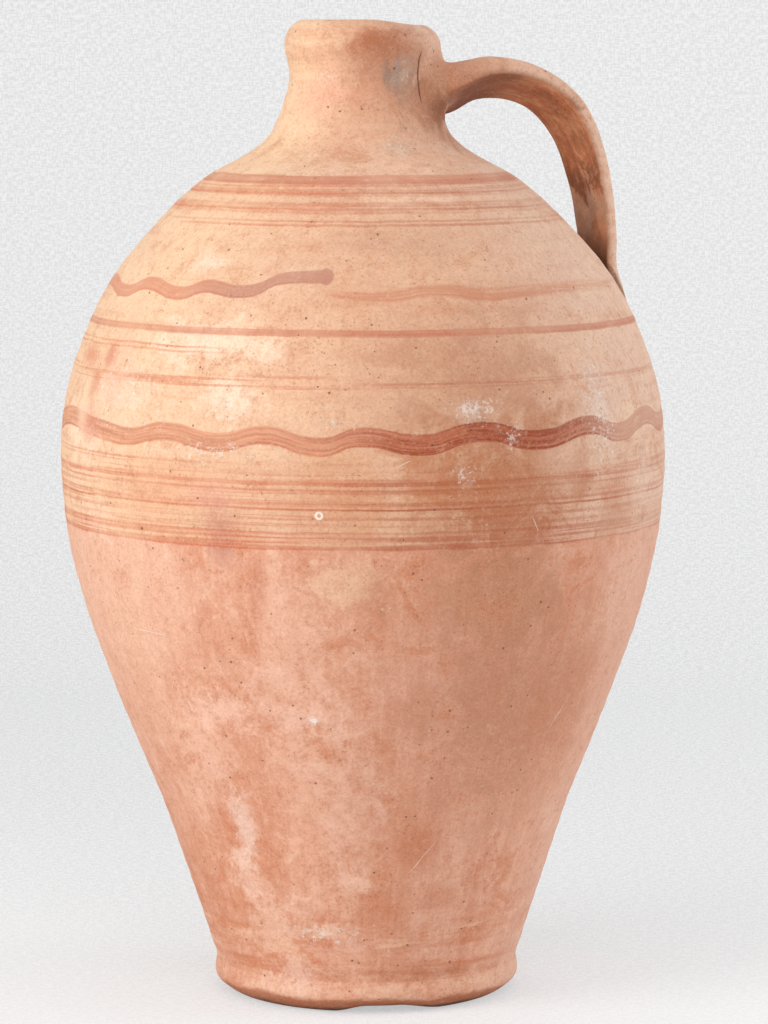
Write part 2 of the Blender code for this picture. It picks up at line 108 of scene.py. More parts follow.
def evenly(curve, count):
    """Points at equal distances along a curve, its two ends included."""
    lengths = [0.0]
    for here, there in zip(curve, curve[1:]):
        lengths.append(lengths[-1] + (there - here).length)
    points = []
    span = 0
    for index in range(count + 1):
        target = lengths[-1] * index / count
        while span < len(curve) - 2 and lengths[span + 1] < target:
            span += 1
        share = (target - lengths[span]) / (lengths[span + 1] - lengths[span])
        points.append(curve[span].lerp(curve[span + 1], share))
    return points


def mix(low, high, share):
    return low + (high - low) * share


def ease(value, low, high):
    share = min(max((value - low) / (high - low), 0.0), 1.0)
    return share * share * (3 - 2 * share)


def table_at(table, where):
    """Value of a two-column table at a place, straight between its rows."""
    for (low, first), (high, second) in zip(table, table[1:]):
        if where <= high:
            return mix(first, second, max(where - low, 0) / (high - low))
    return table[-1][1]


SKIN = curve_through([(radius, height) for height, radius in OUTSIDE], 24)


def skin_at(height):
    for low, high in zip(SKIN, SKIN[1:]):
        if height <= high.y:
            return low.lerp(high, (height - low.y) / (high.y - low.y))
    return SKIN[-1]


def skin_span(low, high):
    """Points of the outer side between two heights, closer together at the joints."""
    side = [skin_at(low)] + [point for point in SKIN if low < point.y < high] + [skin_at(high)]
    length = sum((b - a).length for a, b in zip(side, side[1:]))
    points = evenly(side, round(length / ROW_STEP))
    return [points[0], points[0].lerp(points[1], 0.2)] + points[1:-1] + [points[-1].lerp(points[-2], 0.2), points[-1]]


def wall_thickness(height):
    if height < BELLY:
        return mix(FOOT_WALL, BELLY_WALL, max(height - SEAT, 0) / (BELLY - SEAT))
    return mix(BELLY_WALL, NECK_WALL, min((height - BELLY) / (NECK_WAIST - BELLY), 1))


def inside_span(low, high):
    """Points of the inner side between two heights, top to bottom."""
    side = skin_span(low, high)
    points = []
    for index, point in enumerate(side):
        ahead = side[min(index + 1, len(side) - 1)] - side[max(index - 1, 0)]
        out = Vector((ahead.y, -ahead.x)).normalized()
        points.append(point - out * wall_thickness(point.y))
    return points[::-2] + ([] if len(points) % 2 else [points[0]])


class Flow:
    """A value that flows from one node to others, and takes part in sums as a number does."""

    def __init__(self, bench, socket):
        self.bench = bench
        self.socket = socket

    def __add__(self, other):
        return self.bench.math("ADD", self, other)

    def __sub__(self, other):
        return self.bench.math("SUBTRACT", self, other)

    def __rsub__(self, other):
        return self.bench.math("SUBTRACT", other, self)

    def __mul__(self, other):
        return self.bench.math("MULTIPLY", self, other)

    def __truediv__(self, other):
        return self.bench.math("DIVIDE", self, other)

    def __abs__(self):
        return self.bench.math("ABSOLUTE", self)


class Bench:
    """Lays nodes into one tree. Each call adds a node and gives back one of its outputs."""

    def __init__(self, tree):
        self.tree = tree

    def feed(self, socket, value):
        if isinstance(value, Flow):
            self.tree.links.new(value.socket, socket)
        else:
            socket.default_value = value

    def lay_all(self, kind, inputs=None, **settings):
        """Adds a node and gives back all of its outputs."""
        node = self.tree.nodes.new(kind)
        for name, value in settings.items():
            setattr(node, name, value)
        for key, value in (inputs or {}).items():
            self.feed(node.inputs[key], value)
        return {socket.name: Flow(self, socket) for socket in node.outputs if socket.enabled}

    def lay(self, kind, inputs=None, output=None, **settings):
        outputs = self.lay_all(kind, inputs, **settings)
        return outputs[output] if output else next(iter(outputs.values()))

    def math(self, operation, a, b=0.0, c=0.0):
        return self.lay("ShaderNodeMath", {0: a, 1: b, 2: c}, operation=operation)

    def swing(self, noise_value, width):
        """A noise swung to both sides of 0 instead of 0.5."""
        return (noise_value - 0.5) * width

    def fade(self, value, start, end):
        """0 before start and 1 past end, eased between them."""
        inputs = {"Value": value, "From Min": start, "From Max": end}
        return self.lay("ShaderNodeMapRange", inputs, interpolation_type="SMOOTHSTEP")

    def vector(self, x, y, z):
        return self.lay("ShaderNodeCombineXYZ", {0: x, 1: y, 2: z})

    def dot(self, where, direction):
        return self.lay("ShaderNodeVectorMath", {0: where, 1: tuple(direction)}, operation="DOT_PRODUCT")

    def stretch(self, where, scale):
        return self.lay("ShaderNodeVectorMath", {0: where, 1: scale}, operation="MULTIPLY")

    def grain(self, where, scale, detail=2.0, roughness=0.5, distortion=0.0):
        inputs = {"Vector": where, "Scale": scale, "Detail": detail, "Roughness": roughness, "Distortion": distortion}
        return self.lay("ShaderNodeTexNoise", inputs)

    def tint(self, share, under, over):
        """Two colours mixed, each one from another node or as a screen shows it."""
        under, over = (shade(*colour) if isinstance(colour, tuple) else colour for colour in (under, over))
        return self.lay("ShaderNodeMix", {0: share, 6: under, 7: over}, data_type="RGBA")

    def stain(self, colour, *rows):
        """Tints a colour in turn where each row's value fades in: value, start, end, strength, paint."""
        for value, start, end, strength, paint in rows:
            colour = self.tint(self.fade(value, start, end) * strength, colour, paint)
        return colour

    def curve(self, value, points, handle="AUTO"):
        """A curve through (place, value) points, both from 0 to 1."""
        node = self.tree.nodes.new("ShaderNodeFloatCurve")
        line = node.mapping.curves[0]
        line.points[0].location = points[0]
        line.points[1].location = points[-1]
        for point in points[1:-1]:
            line.points.new(*point)
        for point in line.points:
            point.handle_type = handle
        node.mapping.update()
        self.feed(node.inputs["Value"], value)
        return Flow(self, node.outputs[0])


def shade(red, green, blue):
    """Linear colour from the 0 to 255 values that a screen shows."""
    parts = [value / 255 for value in (red, green, blue)]
    return tuple(part / 12.92 if part <= 0.04045 else ((part + 0.055) / 1.055) ** 2.4 for part in parts) + (1.0,)


# The wheel: a strip whose x is radius, y is turn and z is height becomes a thrown wall

WHEEL_SIZES = (
    ("Outer ring depth", 0.1 * MM),
    ("Inner ring depth", 0.9 * MM),
    ("Ring pitch", 9 * MM),
    ("Out of round", 0.22 * MM),
    ("Dents", 0.16 * MM),
    ("Rim dip", 2.5 * MM),
    ("Foot notch", 2.6 * MM),
)


def wheel_tree():
    tree = bpy.data.node_groups.new("throwing wheel", "GeometryNodeTree")
    tree.interface.new_socket("Strip", in_out="INPUT", socket_type="NodeSocketGeometry")
    for name, size in WHEEL_SIZES:
        tree.interface.new_socket(name, in_out="INPUT", socket_type="NodeSocketFloat").default_value = size
    tree.interface.new_socket("Clay", in_out="INPUT", socket_type="NodeSocketMaterial")
    tree.interface.new_socket("Wall", in_out="OUTPUT", socket_type="NodeSocketGeometry")
    b = Bench(tree)
    given = b.lay_all("NodeGroupInput")
    radius, turn, height = b.lay_all("ShaderNodeSeparateXYZ", {0: b.lay("GeometryNodeInputPosition")}).values()
    inside = b.lay("GeometryNodeInputNamedAttribute", {"Name": "inside"}, data_type="FLOAT")
    cosine, sine = b.math("COSINE", turn), b.math("SINE", turn)
    round_place = b.vector(cosine, sine, height * 9)
    waver = b.grain(round_place, 1.2) * 5
    ring = b.math("SINE", height / given["Ring pitch"] * math.tau + waver)
    depth = b.lay("ShaderNodeMix", {0: inside, 2: given["Outer ring depth"], 3: given["Inner ring depth"]})
    rings = ring * depth
    oval = b.swing(b.grain(round_place, 0.9, 0), given["Out of round"] * 4)
    dent_place = b.vector(cosine * 5, sine * 5, height * 42)
    dents = b.swing(b.grain(dent_place, 1.0, 2), given["Dents"] * 4)
    off_axis = b.fade(radius, 10 * MM, 24 * MM)
    level = b.fade(height, 0.2 * MM, 6 * MM)
    radius = radius + (rings + oval + dents) * off_axis * level
    lean_points = [(z / TOP, 0.5 + shift / 4) for z, shift in LEAN]
    lean = b.swing(b.curve(height * (1 / (TOP * MM)), lean_points), 4 * MM)
    across = radius * sine + lean
    toward = radius * cosine
    dip = b.fade(across, 2 * MM, 27 * MM) * b.fade(height, 434 * MM, 449 * MM)
    drop = dip * given["Rim dip"] * -1
    notch = b.fade(across, -14 * MM, 2 * MM) * b.fade(across, 36 * MM, 16 * MM)
    notch = notch * b.fade(toward, 20 * MM, 50 * MM) * b.fade(height, 11 * MM, 0)
    lift = notch * given["Foot notch"]
    place = b.vector(
        toward * TOWARD.x + across * ACROSS.x,
        toward * TOWARD.y + across * ACROSS.y,
        height + (drop + lift),
    )
    wall = b.lay("GeometryNodeSetPosition", {"Geometry": given["Strip"], "Position": place})
    wall = b.lay("GeometryNodeMergeByDistance", {"Geometry": wall, "Distance": 0.002 * MM})
    wall = b.lay("GeometryNodeRealizeInstances", {"Geometry": wall})
    wall = b.lay("GeometryNodeSetMaterial", {"Geometry": wall, "Material": given["Clay"]})
    b.feed(tree.nodes.new("NodeGroupOutput").inputs[0], wall)
    return tree


def socket_id(tree, name):
    return next(item.identifier for item in tree.interface.items_tree if item.name == name and item.in_out == "INPUT")


def link(name, mesh):
    piece = bpy.data.objects.new(name, mesh)
    bpy.context.scene.collection.objects.link(piece)
    return piece


def settle(piece):
    """Takes a piece's modifiers into a plain mesh, which points outwards."""
    evaluated = piece.evaluated_get(bpy.context.evaluated_depsgraph_get())
    mesh = bpy.data.meshes.new_from_object(evaluated)
    piece.modifiers.clear()
    piece.data = mesh
    shape = bmesh.new()
    shape.from_mesh(mesh)
    if shape.calc_volume(signed=True) < 0:
        bmesh.ops.reverse_faces(shape, faces=shape.faces)
    shape.to_mesh(mesh)
    shape.free()
    return piece


def thrown(name, outside, inside, clay, open_ends=False):
    """One thrown member from the points of its outer and inner sides, given in millimetres."""
    rows = [(point, 0.0) for point in outside] + [(point, 1.0) for point in inside]
    points = [(x * MM, math.tau * column / COLUMNS, y * MM) for (x, y), _ in rows for column in range(COLUMNS)]
    faces = []
    for row in range(len(rows) - 1 if open_ends else len(rows)):
        low, high = row * COLUMNS, (row + 1) % len(rows) * COLUMNS
        for here in range(COLUMNS):
            there = (here + 1) % COLUMNS
            faces.append((low + here, low + there, high + there, high + here))
    mesh = bpy.data.meshes.new(name)
    mesh.from_pydata(points, [], faces)
    mesh.attributes.new("inside", "FLOAT", "POINT").data.foreach_set(
        "value", [side for _, side in rows for _ in range(COLUMNS)]
    )
    mesh.shade_smooth()
    sharp_rows = {0, len(outside) - 1, len(outside), len(rows) - 1}
    sharp = [
        edge.vertices[0] // COLUMNS == edge.vertices[1] // COLUMNS and edge.vertices[0] // COLUMNS in sharp_rows
        for edge in mesh.edges
    ]
    mesh.attributes.new("sharp_edge", "BOOLEAN", "EDGE").data.foreach_set("value", sharp)
    piece = link(name, mesh)
    wheel = piece.modifiers.new("wheel", "NODES")
    wheel.node_group = WHEEL
    wheel[socket_id(WHEEL, "Clay")] = clay
    for setting, size in WHEEL_SIZES:
        wheel[socket_id(WHEEL, setting)] = size
    return settle(piece)


# Finishes

# Smudges and stains, some browns round the root partly painted shade: turn from the front in degrees, height, the
# pot's radius there, half the width and half the height in millimetres, colour on a screen, and strength
NECK_STAINS_AND_SHADE = (
    (8, 440, 36, 13, 8, (170, 98, 60), 0.9),
    (34, 438, 36, 20, 10, (172, 114, 86), 0.65),
    # This brown, and those from (60, 400) to (74, 397), round and under the root on the neck's right, are partly
    # stain and partly painted shade.
    (70, 424, 38, 20, 18, (186, 128, 96), 0.75),
    (24, 413, 36, 10, 8, (196, 144, 114), 0.6),
    (10, 426, 34, 14, 12, (188, 128, 98), 0.75),
    (2, 413, 36, 13, 8, (208, 152, 122), 0.5),
    (24, 441, 36, 10, 8, (176, 112, 82), 0.55),
    (-6, 416, 36, 14, 6, (206, 148, 118), 0.65),
    (36, 421, 34, 7, 11, (176, 152, 134), 0.75),
    (27, 424, 34, 2, 8, (160, 142, 130), 0.7),
    (19, 425, 34, 2.2, 7, (144, 122, 110), 0.7),
    (20, 392, 43, 9, 4, (196, 172, 150), 0.6),
    (60, 400, 44, 24, 9, (174, 124, 96), 0.6),
    (66, 412, 37, 22, 13, (164, 106, 74), 0.85),
    (75, 408, 40, 13, 8, (120, 72, 46), 0.75),
    (42, 409, 37, 9, 8, (190, 134, 104), 0.5),
    (74, 397, 47, 17, 8, (150, 104, 80), 0.5),
    (-26, 419, 34, 9, 13, (234, 178, 150), 0.5),
    (-38, 412, 36, 12, 7, (226, 172, 142), 0.5),
    (34.3, 443, 35, 0.6, 0.9, (112, 66, 48), 0.8),
    (22.8, 436.7, 36, 0.7, 0.6, (120, 76, 56), 0.7),
    (64, 435.5, 36, 0.6, 1.1, (96, 56, 40), 0.85),
)
SLIP_STAINS = (
    (8, 382, 60, 26, 12, (234, 194, 168), 0.5),
    (20, 281, 136, 9, 5, (234, 220, 208), 0.75),
    (18, 252, 140, 6, 6, (226, 202, 184), 0.7),
    (50, 280, 136, 10, 18, (224, 200, 186), 0.5),
    (-26, 285, 135, 13, 9, (240, 222, 198), 0.6),
    (-52, 288, 135, 20, 9, (238, 208, 188), 0.4),
    (-56, 300, 129, 12, 22, (232, 178, 150), 0.5),
    (-32, 308, 127, 34, 9, (244, 214, 190), 0.75),
    (-40, 343, 108, 10, 4, (242, 220, 198), 0.5),
    (10, 352, 100, 26, 9, (200, 154, 128), 0.5),
    (-2, 330, 112, 20, 9, (206, 152, 122), 0.5),
    (30, 325, 116, 30, 12, (206, 160, 132), 0.4),
    (8, 305, 128, 32, 8, (196, 142, 110), 0.5),
    (24, 292, 134, 42, 32, (188, 134, 104), 0.75),
    (27, 247, 140, 46, 28, (178, 108, 68), 0.8),
    (54, 243, 140, 14, 9, (196, 122, 90), 0.5),
    (14, 250, 140, 28, 12, (190, 118, 76), 0.5),
    (30, 230, 139, 26, 8, (176, 98, 60), 0.4),
    (-2, 243, 140, 26, 20, (206, 142, 100), 0.55),
    (-40, 246, 140, 40, 16, (214, 146, 108), 0.35),
    (-28, 243, 140, 16, 6, (226, 170, 148), 0.55),
    (-26, 226, 139, 12, 14, (180, 118, 104), 0.6),
    (-64, 266, 138, 16, 16, (248, 216, 190), 0.5),
    (-60, 228, 139, 16, 10, (244, 204, 180), 0.45),
    (-24, 310, 124, 13, 13, (248, 214, 182), 0.35),
    (38, 258, 139, 12, 9, (224, 186, 160), 0.45),
    (54, 232, 139, 15, 11, (188, 128, 92), 0.45),
)
BARE_STAINS = (
    (-20, 203, 135, 4, 12, (190, 112, 84), 0.55),
    (-3, 206, 135, 17, 10, (228, 186, 154), 0.6),
    (3, 198, 135, 7, 12, (188, 120, 86), 0.4),
    (-15, 175, 128, 20, 40, (236, 188, 164), 0.4),
    (-12, 100, 100, 18, 50, (234, 182, 156), 0.4),
    (-34, 146, 116, 20, 10, (238, 194, 174), 0.6),
    (-14, 142, 116, 14, 8, (234, 190, 168), 0.5),
    (0, 64, 86, 9, 7, (236, 194, 168), 0.6),
    (-38, 72, 88, 10, 6, (238, 200, 178), 0.5),
    (24, 214, 136, 14, 7, (186, 120, 86), 0.5),
    (14, 146, 117, 16, 12, (196, 132, 98), 0.5),
    (24, 57, 84, 10, 7, (196, 124, 86), 0.5),
    (28, 198, 133, 36, 24, (184, 128, 94), 0.6),
    (38, 146, 118, 50, 52, (188, 126, 94), 0.7),
    (-11, 141.5, 116, 2.4, 2.0, (246, 236, 228), 0.9),
    (-35, 88, 94, 6, 17, (236, 204, 188), 0.6),
    (16, 82, 92, 11, 14, (190, 108, 66), 0.6),
    (4, 70, 92, 5, 18, (196, 118, 80), 0.3),
    (4, 50, 82, 14, 12, (192, 108, 66), 0.35),
    (-32, 38, 76, 14, 16, (238, 200, 176), 0.5),
    (-42, 126, 110, 16, 26, (238, 192, 168), 0.4),
    (-4, 94, 98, 15, 46, (228, 186, 164), 0.35),
    (-38, 64, 87, 9, 12, (238, 200, 180), 0.5),
)
FOOT_STAINS = (
    (-14, 40, 78, 8, 5, (240, 204, 180), 0.6),
    (-30, 30, 76, 14, 5, (232, 186, 156), 0.5),
    (-32, 9, 70, 22, 6, (236, 198, 176), 0.7),
    (10, 12, 70, 12, 3, (236, 198, 172), 0.5),
    (-24, 15, 70, 10, 11, (238, 204, 186), 0.5),
)
ALL_STAINS_AND_SHADE = NECK_STAINS_AND_SHADE + SLIP_STAINS + BARE_STAINS + FOOT_STAINS
# Mineral crust and flaked slip, in white crumbs: the same columns without the colour
CRUST = (
    (21, 281, 136, 15, 7, 1.0),
    (28, 270, 139, 6, 8, 0.9),
    (18, 252, 140, 7, 6, 0.9),
    (50, 276, 137, 13, 32, 0.8),
    (64, 246, 140, 7, 22, 0.7),
    (-52, 285, 135, 38, 22, 0.65),
    (-61, 264, 138, 10, 9, 0.8),
    (-57, 292, 133, 14, 8, 0.6),
    (-6, 276, 138, 16, 5, 0.6),
    (-30, 262, 139, 44, 7, 0.6),
    (-26, 284, 135, 14, 9, 0.6),
    (10, 232, 139, 70, 9, 0.3),
    (20, 392, 43, 9, 5, 0.6),
    (30, 424, 34, 6, 10, 0.5),
    (-30, 424, 34, 10, 8, 0.5),
    (-4, 190, 132, 50, 22, 0.3),
    (-35, 86, 94, 10, 18, 0.6),
    (-12, 38, 78, 30, 9, 0.7),
)
# Dabs of paint at the left, in the first list's columns
DABS = (
    (-70, 299, 131, 12, 4.5, (208, 124, 96), 0.6),
    (-60, 300, 130, 6, 5, (198, 114, 90), 0.6),
    (-63, 288, 134, 5, 9, (206, 122, 94), 0.5),
    (-62, 270, 138, 9, 8, (208, 128, 100), 0.45),
)
# Scratches: turn, height, radius, half length, half thickness, slope in degrees, strength
SCRATCHES = (
    (17.8, 77, 91, 9, 0.22, 52, 0.6),
    (15, 71, 90, 5, 0.2, 50, 0.45),
    (50, 139, 112, 12, 0.2, 62, 0.35),
    (-48, 178, 128, 13, 0.22, -3, 0.6),
    (-30, 160, 122, 6, 0.2, -70, 0.3),
    (33, 230, 139, 4, 0.25, -60, 0.5),
    (7, 258, 140, 4, 0.3, 25, 0.45),
)


def place_group():
    """Where a point lies on the pot: its turn in degrees from the front, its height in millimetres."""
    tree = bpy.data.node_groups.new("place on the pot", "ShaderNodeTree")
    for name in ("Turn", "Height", "Across", "Toward", "Sine", "Cosine"):
        tree.interface.new_socket(name, in_out="OUTPUT", socket_type="NodeSocketFloat")
    b = Bench(tree)
    where = b.lay("ShaderNodeTexCoord", output="Object")
    across, toward = b.dot(where, ACROSS), b.dot(where, TOWARD)
    angle = b.math("ARCTAN2", across, toward)
    height = b.lay("ShaderNodeSeparateXYZ", {0: where}, output="Z") * 1000
    ends = tree.nodes.new("NodeGroupOutput").inputs
    values = b.math("DEGREES", angle), height, across, toward, b.math("SINE", angle), b.math("COSINE", angle)
    for socket, value in zip(ends, values):
        b.feed(socket, value)
    return tree


PLACE = place_group()


class Skin(Bench):
    """A bench for one clay, with where a point lies on the pot and the noises that every clay shares."""

    def __init__(self, tree):
        super().__init__(tree)
        ends = self.lay_all("ShaderNodeGroup", node_tree=PLACE)
        self.turn, self.height, self.across, self.toward, self.sine, self.cosine = ends.values()
        self.front = self.fade(abs(self.turn), 172, 112)
        self.point = self.lay("ShaderNodeTexCoord", output="Object")
        self.cloud = self.grain(self.point, 12, 4, 0.55, 0.5)
        self.patch = self.grain(self.point, 25, 4, 0.6, 0.3)
        self.blotch = self.grain(self.point, 55, 4, 0.7, 0.7)
        self.mottle = self.grain(self.point, 190, 3, 0.85)
        self.sand = self.grain(self.point, 780, 3, 0.9)
        self.wiping = self.grain(self.stretch(self.point, (9, 9, 800)), 1, 3, 0.62)
        self.wash = self.grain(self.stretch(self.point, (14, 14, 150)), 1, 4, 0.65)
        self.waver = self.swing(self.patch, 2.4)
        self.ragged = self.swing(self.blotch, 3.0) + self.swing(self.mottle, 1.3)

    def toward_side(self, start, end):
        """0 before one turn and 1 past another, let out again towards the back."""
        return self.fade(self.turn, start, end) * self.front

    def upright(self, around, tall, detail):
        """Noise in upright streaks: features per radian round the pot, and per metre of height."""
        where = self.vector(self.sine * around, self.cosine * around, self.height * (tall * MM))
        return self.grain(where, 1, detail, 0.62)


# Level bands, thick slip paint first and then thin red lines: height, half width, softness of the edge, cover,
# how far hairs part it, and the first and last turn of one that doesn't go all the way round
THICK_BANDS = (
    (379.0, 1.75, 0.45, 0.72, 0.25),
    (313.9, 1.45, 0.45, 0.78, 0.25),
)
THIN_LINES = (
    (374.6, 2.7, 0.9, 0.42, 0.7),
    (373.1, 0.5, 0.35, 0.62, 0.4),
    (366.9, 2.3, 0.8, 0.38, 0.8),
    (366.2, 0.45, 0.35, 0.62, 0.4),
    (361.2, 0.4, 0.3, 0.4, 0.4, -70, 150),
    (359.5, 0.5, 0.3, 0.5, 0.4, -60, 120),
    (306.9, 0.35, 0.3, 0.6, 0.3, -150, -30),
    (304.9, 0.35, 0.3, 0.55, 0.3, -120, -30),
    (292.6, 3.0, 0.8, 0.42, 1.3, -150, 0),
    (292.2, 1.3, 0.8, 0.42, 1.0, -10, 150),
    (257.2, 1.0, 0.6, 0.4, 1.3, -150, 0),
    (249.6, 0.9, 0.5, 0.6, 0.5),
    (246.6, 0.5, 0.35, 0.5, 0.6),
    (240.5, 0.9, 0.5, 0.5, 0.7),
    (238.2, 0.45, 0.3, 0.75, 0.4),
    (234.2, 0.5, 0.4, 0.45, 0.7),
    (246.0, 8.0, 4.0, 0.34, 1.3),
    (234.0, 9.0, 3.0, 0.34, 1.3),
    (231.0, 0.4, 0.3, 0.45, 0.7),
    (227.8, 0.5, 0.3, 0.65, 0.5),
    (224.3, 3.8, 0.8, 0.6, 0.8),
    (220.9, 0.5, 0.4, 0.7, 0.3),
)
# Wavy brush strokes where the photograph shows them: turn in degrees, height and half width in millimetres
MAIN_WAVE = (
    (-102, 272.0, 4.4), (-92, 266.4, 4.4), (-82, 268.6, 4.6), (-73, 271.2, 4.2), (-62, 268.8, 4.3),
    (-55, 267.4, 4.3), (-49, 266.3, 4.0), (-39, 270.0, 4.0), (-27, 266.4, 4.1), (-18.4, 270.2, 4.0),
    (-7.7, 265.4, 4.2), (-0.5, 269.9, 4.2), (10.3, 266.3, 4.6), (21.6, 271.4, 4.3), (33.9, 266.6, 4.3),
    (46.6, 271.5, 4.2), (55.6, 266.9, 4.2), (67.1, 272.4, 4.2), (78, 267.5, 4.2), (89, 272.2, 4.2),
)
UPPER_WAVE = (
    (-92, 329.6, 2.6), (-80.7, 331.9, 2.7), (-65.2, 328.3, 2.8), (-55.8, 332.5, 2.8), (-43.6, 329.3, 2.9),
    (-36.5, 332.8, 2.9), (-28.6, 331.1, 2.8), (-22.8, 333.0, 2.7), (-18.3, 336.9, 2.6), (-13, 337.7, 2.6),
    (-9, 337.9, 2.9), (-4, 338.0, 3.1), (180, 338.0, 3.1),
)
SECOND_STROKE = (
    (-10.5, 330.4, 0.0), (-5, 330.3, 1.2), (3.7, 329.6, 2.0), (9, 330.4, 2.3), (14.8, 332.0, 2.3),
    (20, 331.6, 2.6), (26.2, 329.9, 2.7), (36.7, 330.3, 2.4), (49.3, 331.2, 2.3), (67.5, 330.9, 2.3),
    (80, 329.5, 2.2),
)


def wave_on(start, last, height, rise, pitch, half):
    """More rows for a wavy stroke, from one turn to another, a crest and a trough at each pitch."""
    count = round((last - start) / (pitch / 2))
    return [
        (mix(start, last, index / count), height + (rise if index % 2 else -rise), half)
        for index in range(1, count)
    ]


def distance(b, turn, height, radius):
    """Millimetres over the skin from a place on it, for near points."""
    across = (b.turn - turn) * (math.radians(1) * radius)
    up = b.height - height
    return b.math("SQRT", across * across + up * up)


def smudge(b, turn, height, radius, wide, tall, tilt=0.0):
    """A soft ragged patch on the pot's skin."""
    across = (b.turn - turn) * (math.radians(1) * radius)
    up = b.height - height
    if tilt:
        cosine, sine = math.cos(math.radians(tilt)), math.sin(math.radians(tilt))
        across, up = across * cosine + up * sine, up * cosine - across * sine
    across, up = across * (1 / wide), up * (1 / tall)
    away = b.math("SQRT", across * across + up * up)
    if min(wide, tall) > 1:
        return b.fade(away + b.ragged, 1.4, 0.2)
    return b.fade(away + b.ragged * 0.5, 1.0, 0.5)


def stroke_mask(b, table, softness, hair_depth, hair_pitch):
    """Cover of one brush stroke: it follows its own line, and the brush's hairs part it lengthwise."""
    base = sum(height for _, height, _ in table) / len(table)
    share = b.math("MULTIPLY_ADD", b.turn, 1 / 360, 0.5)
    line = b.curve(share, [(turn / 360 + 0.5, 0.5 + (height - base) / 40) for turn, height, _ in table])
    half = b.curve(share, [(turn / 360 + 0.5, half / 10) for turn, _, half in table], "AUTO_CLAMPED") * 10
    waver = b.swing(b.blotch, 1.6) + b.swing(b.mottle, 0.7)
    offset = b.height - base - b.swing(line, 40) + waver
    lengthwise = b.vector(b.across * 22, b.toward * 22, offset * hair_pitch)
    hairs = b.grain(lengthwise, 1, 4, 0.7)
    body = b.fade(abs(offset), half + softness, half - softness)
    body = body * b.fade(half, 0.05, 0.6)
    foot = b.fade(offset + half, 1.5, 0.3)
    parted = 1 - b.fade(hairs, 0.54, 0.3) * hair_depth
    return body * b.math("MULTIPLY_ADD", foot, 0.3, parted), hairs


def bare_clay_colour(b):
    """Fired body: salmon clay, clouded by the kiln and wiped downwards, with orange and buff patches."""
    colour = b.tint(b.fade(b.cloud, 0.36, 0.66), (212, 150, 120), (222, 168, 142))
    drips, rubs = b.upright(9, 12, 4), b.upright(42, 26, 3)
    colour = b.stain(
        colour,
        (drips, 0.48, 0.7, 0.4, (200, 130, 98)),
        (drips, 0.47, 0.3, 0.32, (234, 186, 162)),
        (rubs, 0.46, 0.72, 0.2, (194, 124, 92)),
        (rubs, 0.46, 0.28, 0.18, (238, 192, 168)),
        (b.blotch, 0.52, 0.66, 0.55, (200, 124, 86)),
        (b.blotch, 0.46, 0.34, 0.35, (238, 194, 170)),
        (b.patch, 0.57, 0.7, 0.4, (230, 186, 162)),
    )
    low = b.fade(b.height, 62, 30)
    colour = b.tint(b.fade(b.wash, 0.5, 0.66) * low * 0.6, colour, (198, 116, 74))
    colour = b.tint(b.fade(b.wash, 0.48, 0.34) * low * 0.6, colour, (240, 198, 168))
    crease = b.fade(abs(b.height + b.waver - 18), 4.5, 0.6)
    crease = crease * b.fade(b.blotch, 0.4, 0.6) * b.fade(b.turn, -40, 0)
    colour = b.tint(crease * 0.5, colour, (180, 106, 68))
    # Partly painted light and sheen: paler at the right side and at the upper left, partly the clay's own tone.
    colour = b.tint(b.fade(b.turn, 46, 70) * b.front * 0.5, colour, (228, 184, 162))
    left = b.fade(b.turn, -20, -62) * b.fade(b.height, 90, 180) * b.front
    return b.tint(left * 0.55, colour, (235, 190, 164))


def slip_colour(b):
    """Thin buff slip, wiped on unevenly; paler and yellower at the left and paler and pinker at the right, partly its
    own tone and partly painted light and sheen.
    """
    colour = b.tint(b.fade(b.cloud, 0.34, 0.66), (224, 180, 148), (213, 166, 137))
    # Partly painted light and sheen: paler and yellower towards the lit left, paler and less saturated towards the
    # right side.
    left = b.toward_side(-8, -52)
    right = b.toward_side(14, 66)
    colour = b.tint(left * 0.75, colour, (236, 201, 165))
    colour = b.tint(right * 0.75, colour, (224, 190, 168))
    return b.stain(
        colour,
        (b.wash, 0.5, 0.68, 0.5, (207, 152, 119)),
        (b.blotch, 0.53, 0.7, 0.5, (204, 146, 111)),
        (b.blotch, 0.46, 0.3, 0.4, (236, 204, 176)),
        (b.patch, 0.56, 0.7, 0.45, (232, 200, 172)),
    )


def marked(b, colour, marks):
    for turn, height, radius, wide, tall, stain, strength in marks:
        colour = b.tint(smudge(b, turn, height, radius, wide, tall) * strength, colour, stain)
    return colour


def band_cover(b, level, thin, bands):
    """Cover of one kind of level bands, thinned where the brush ran dry."""
    cover = 0.0
    for height, half, softness, strength, parting, *ends in bands:
        body = b.fade(abs(level - height), half + softness, half - softness * 0.6)
        part = 1 - b.fade(b.wiping, 0.56, 0.4) * min(parting, 1.0)
        if parting > 1:
            part = b.fade(b.wiping, 0.5, 0.6)
        band = body * part * strength
        if ends:
            band = band * b.fade(b.turn, ends[0] - 6, ends[0] + 8)
            band = band * b.fade(b.turn, ends[1] + 10, ends[1] - 10)
        cover = b.math("MAXIMUM", cover, band)
    return cover * thin


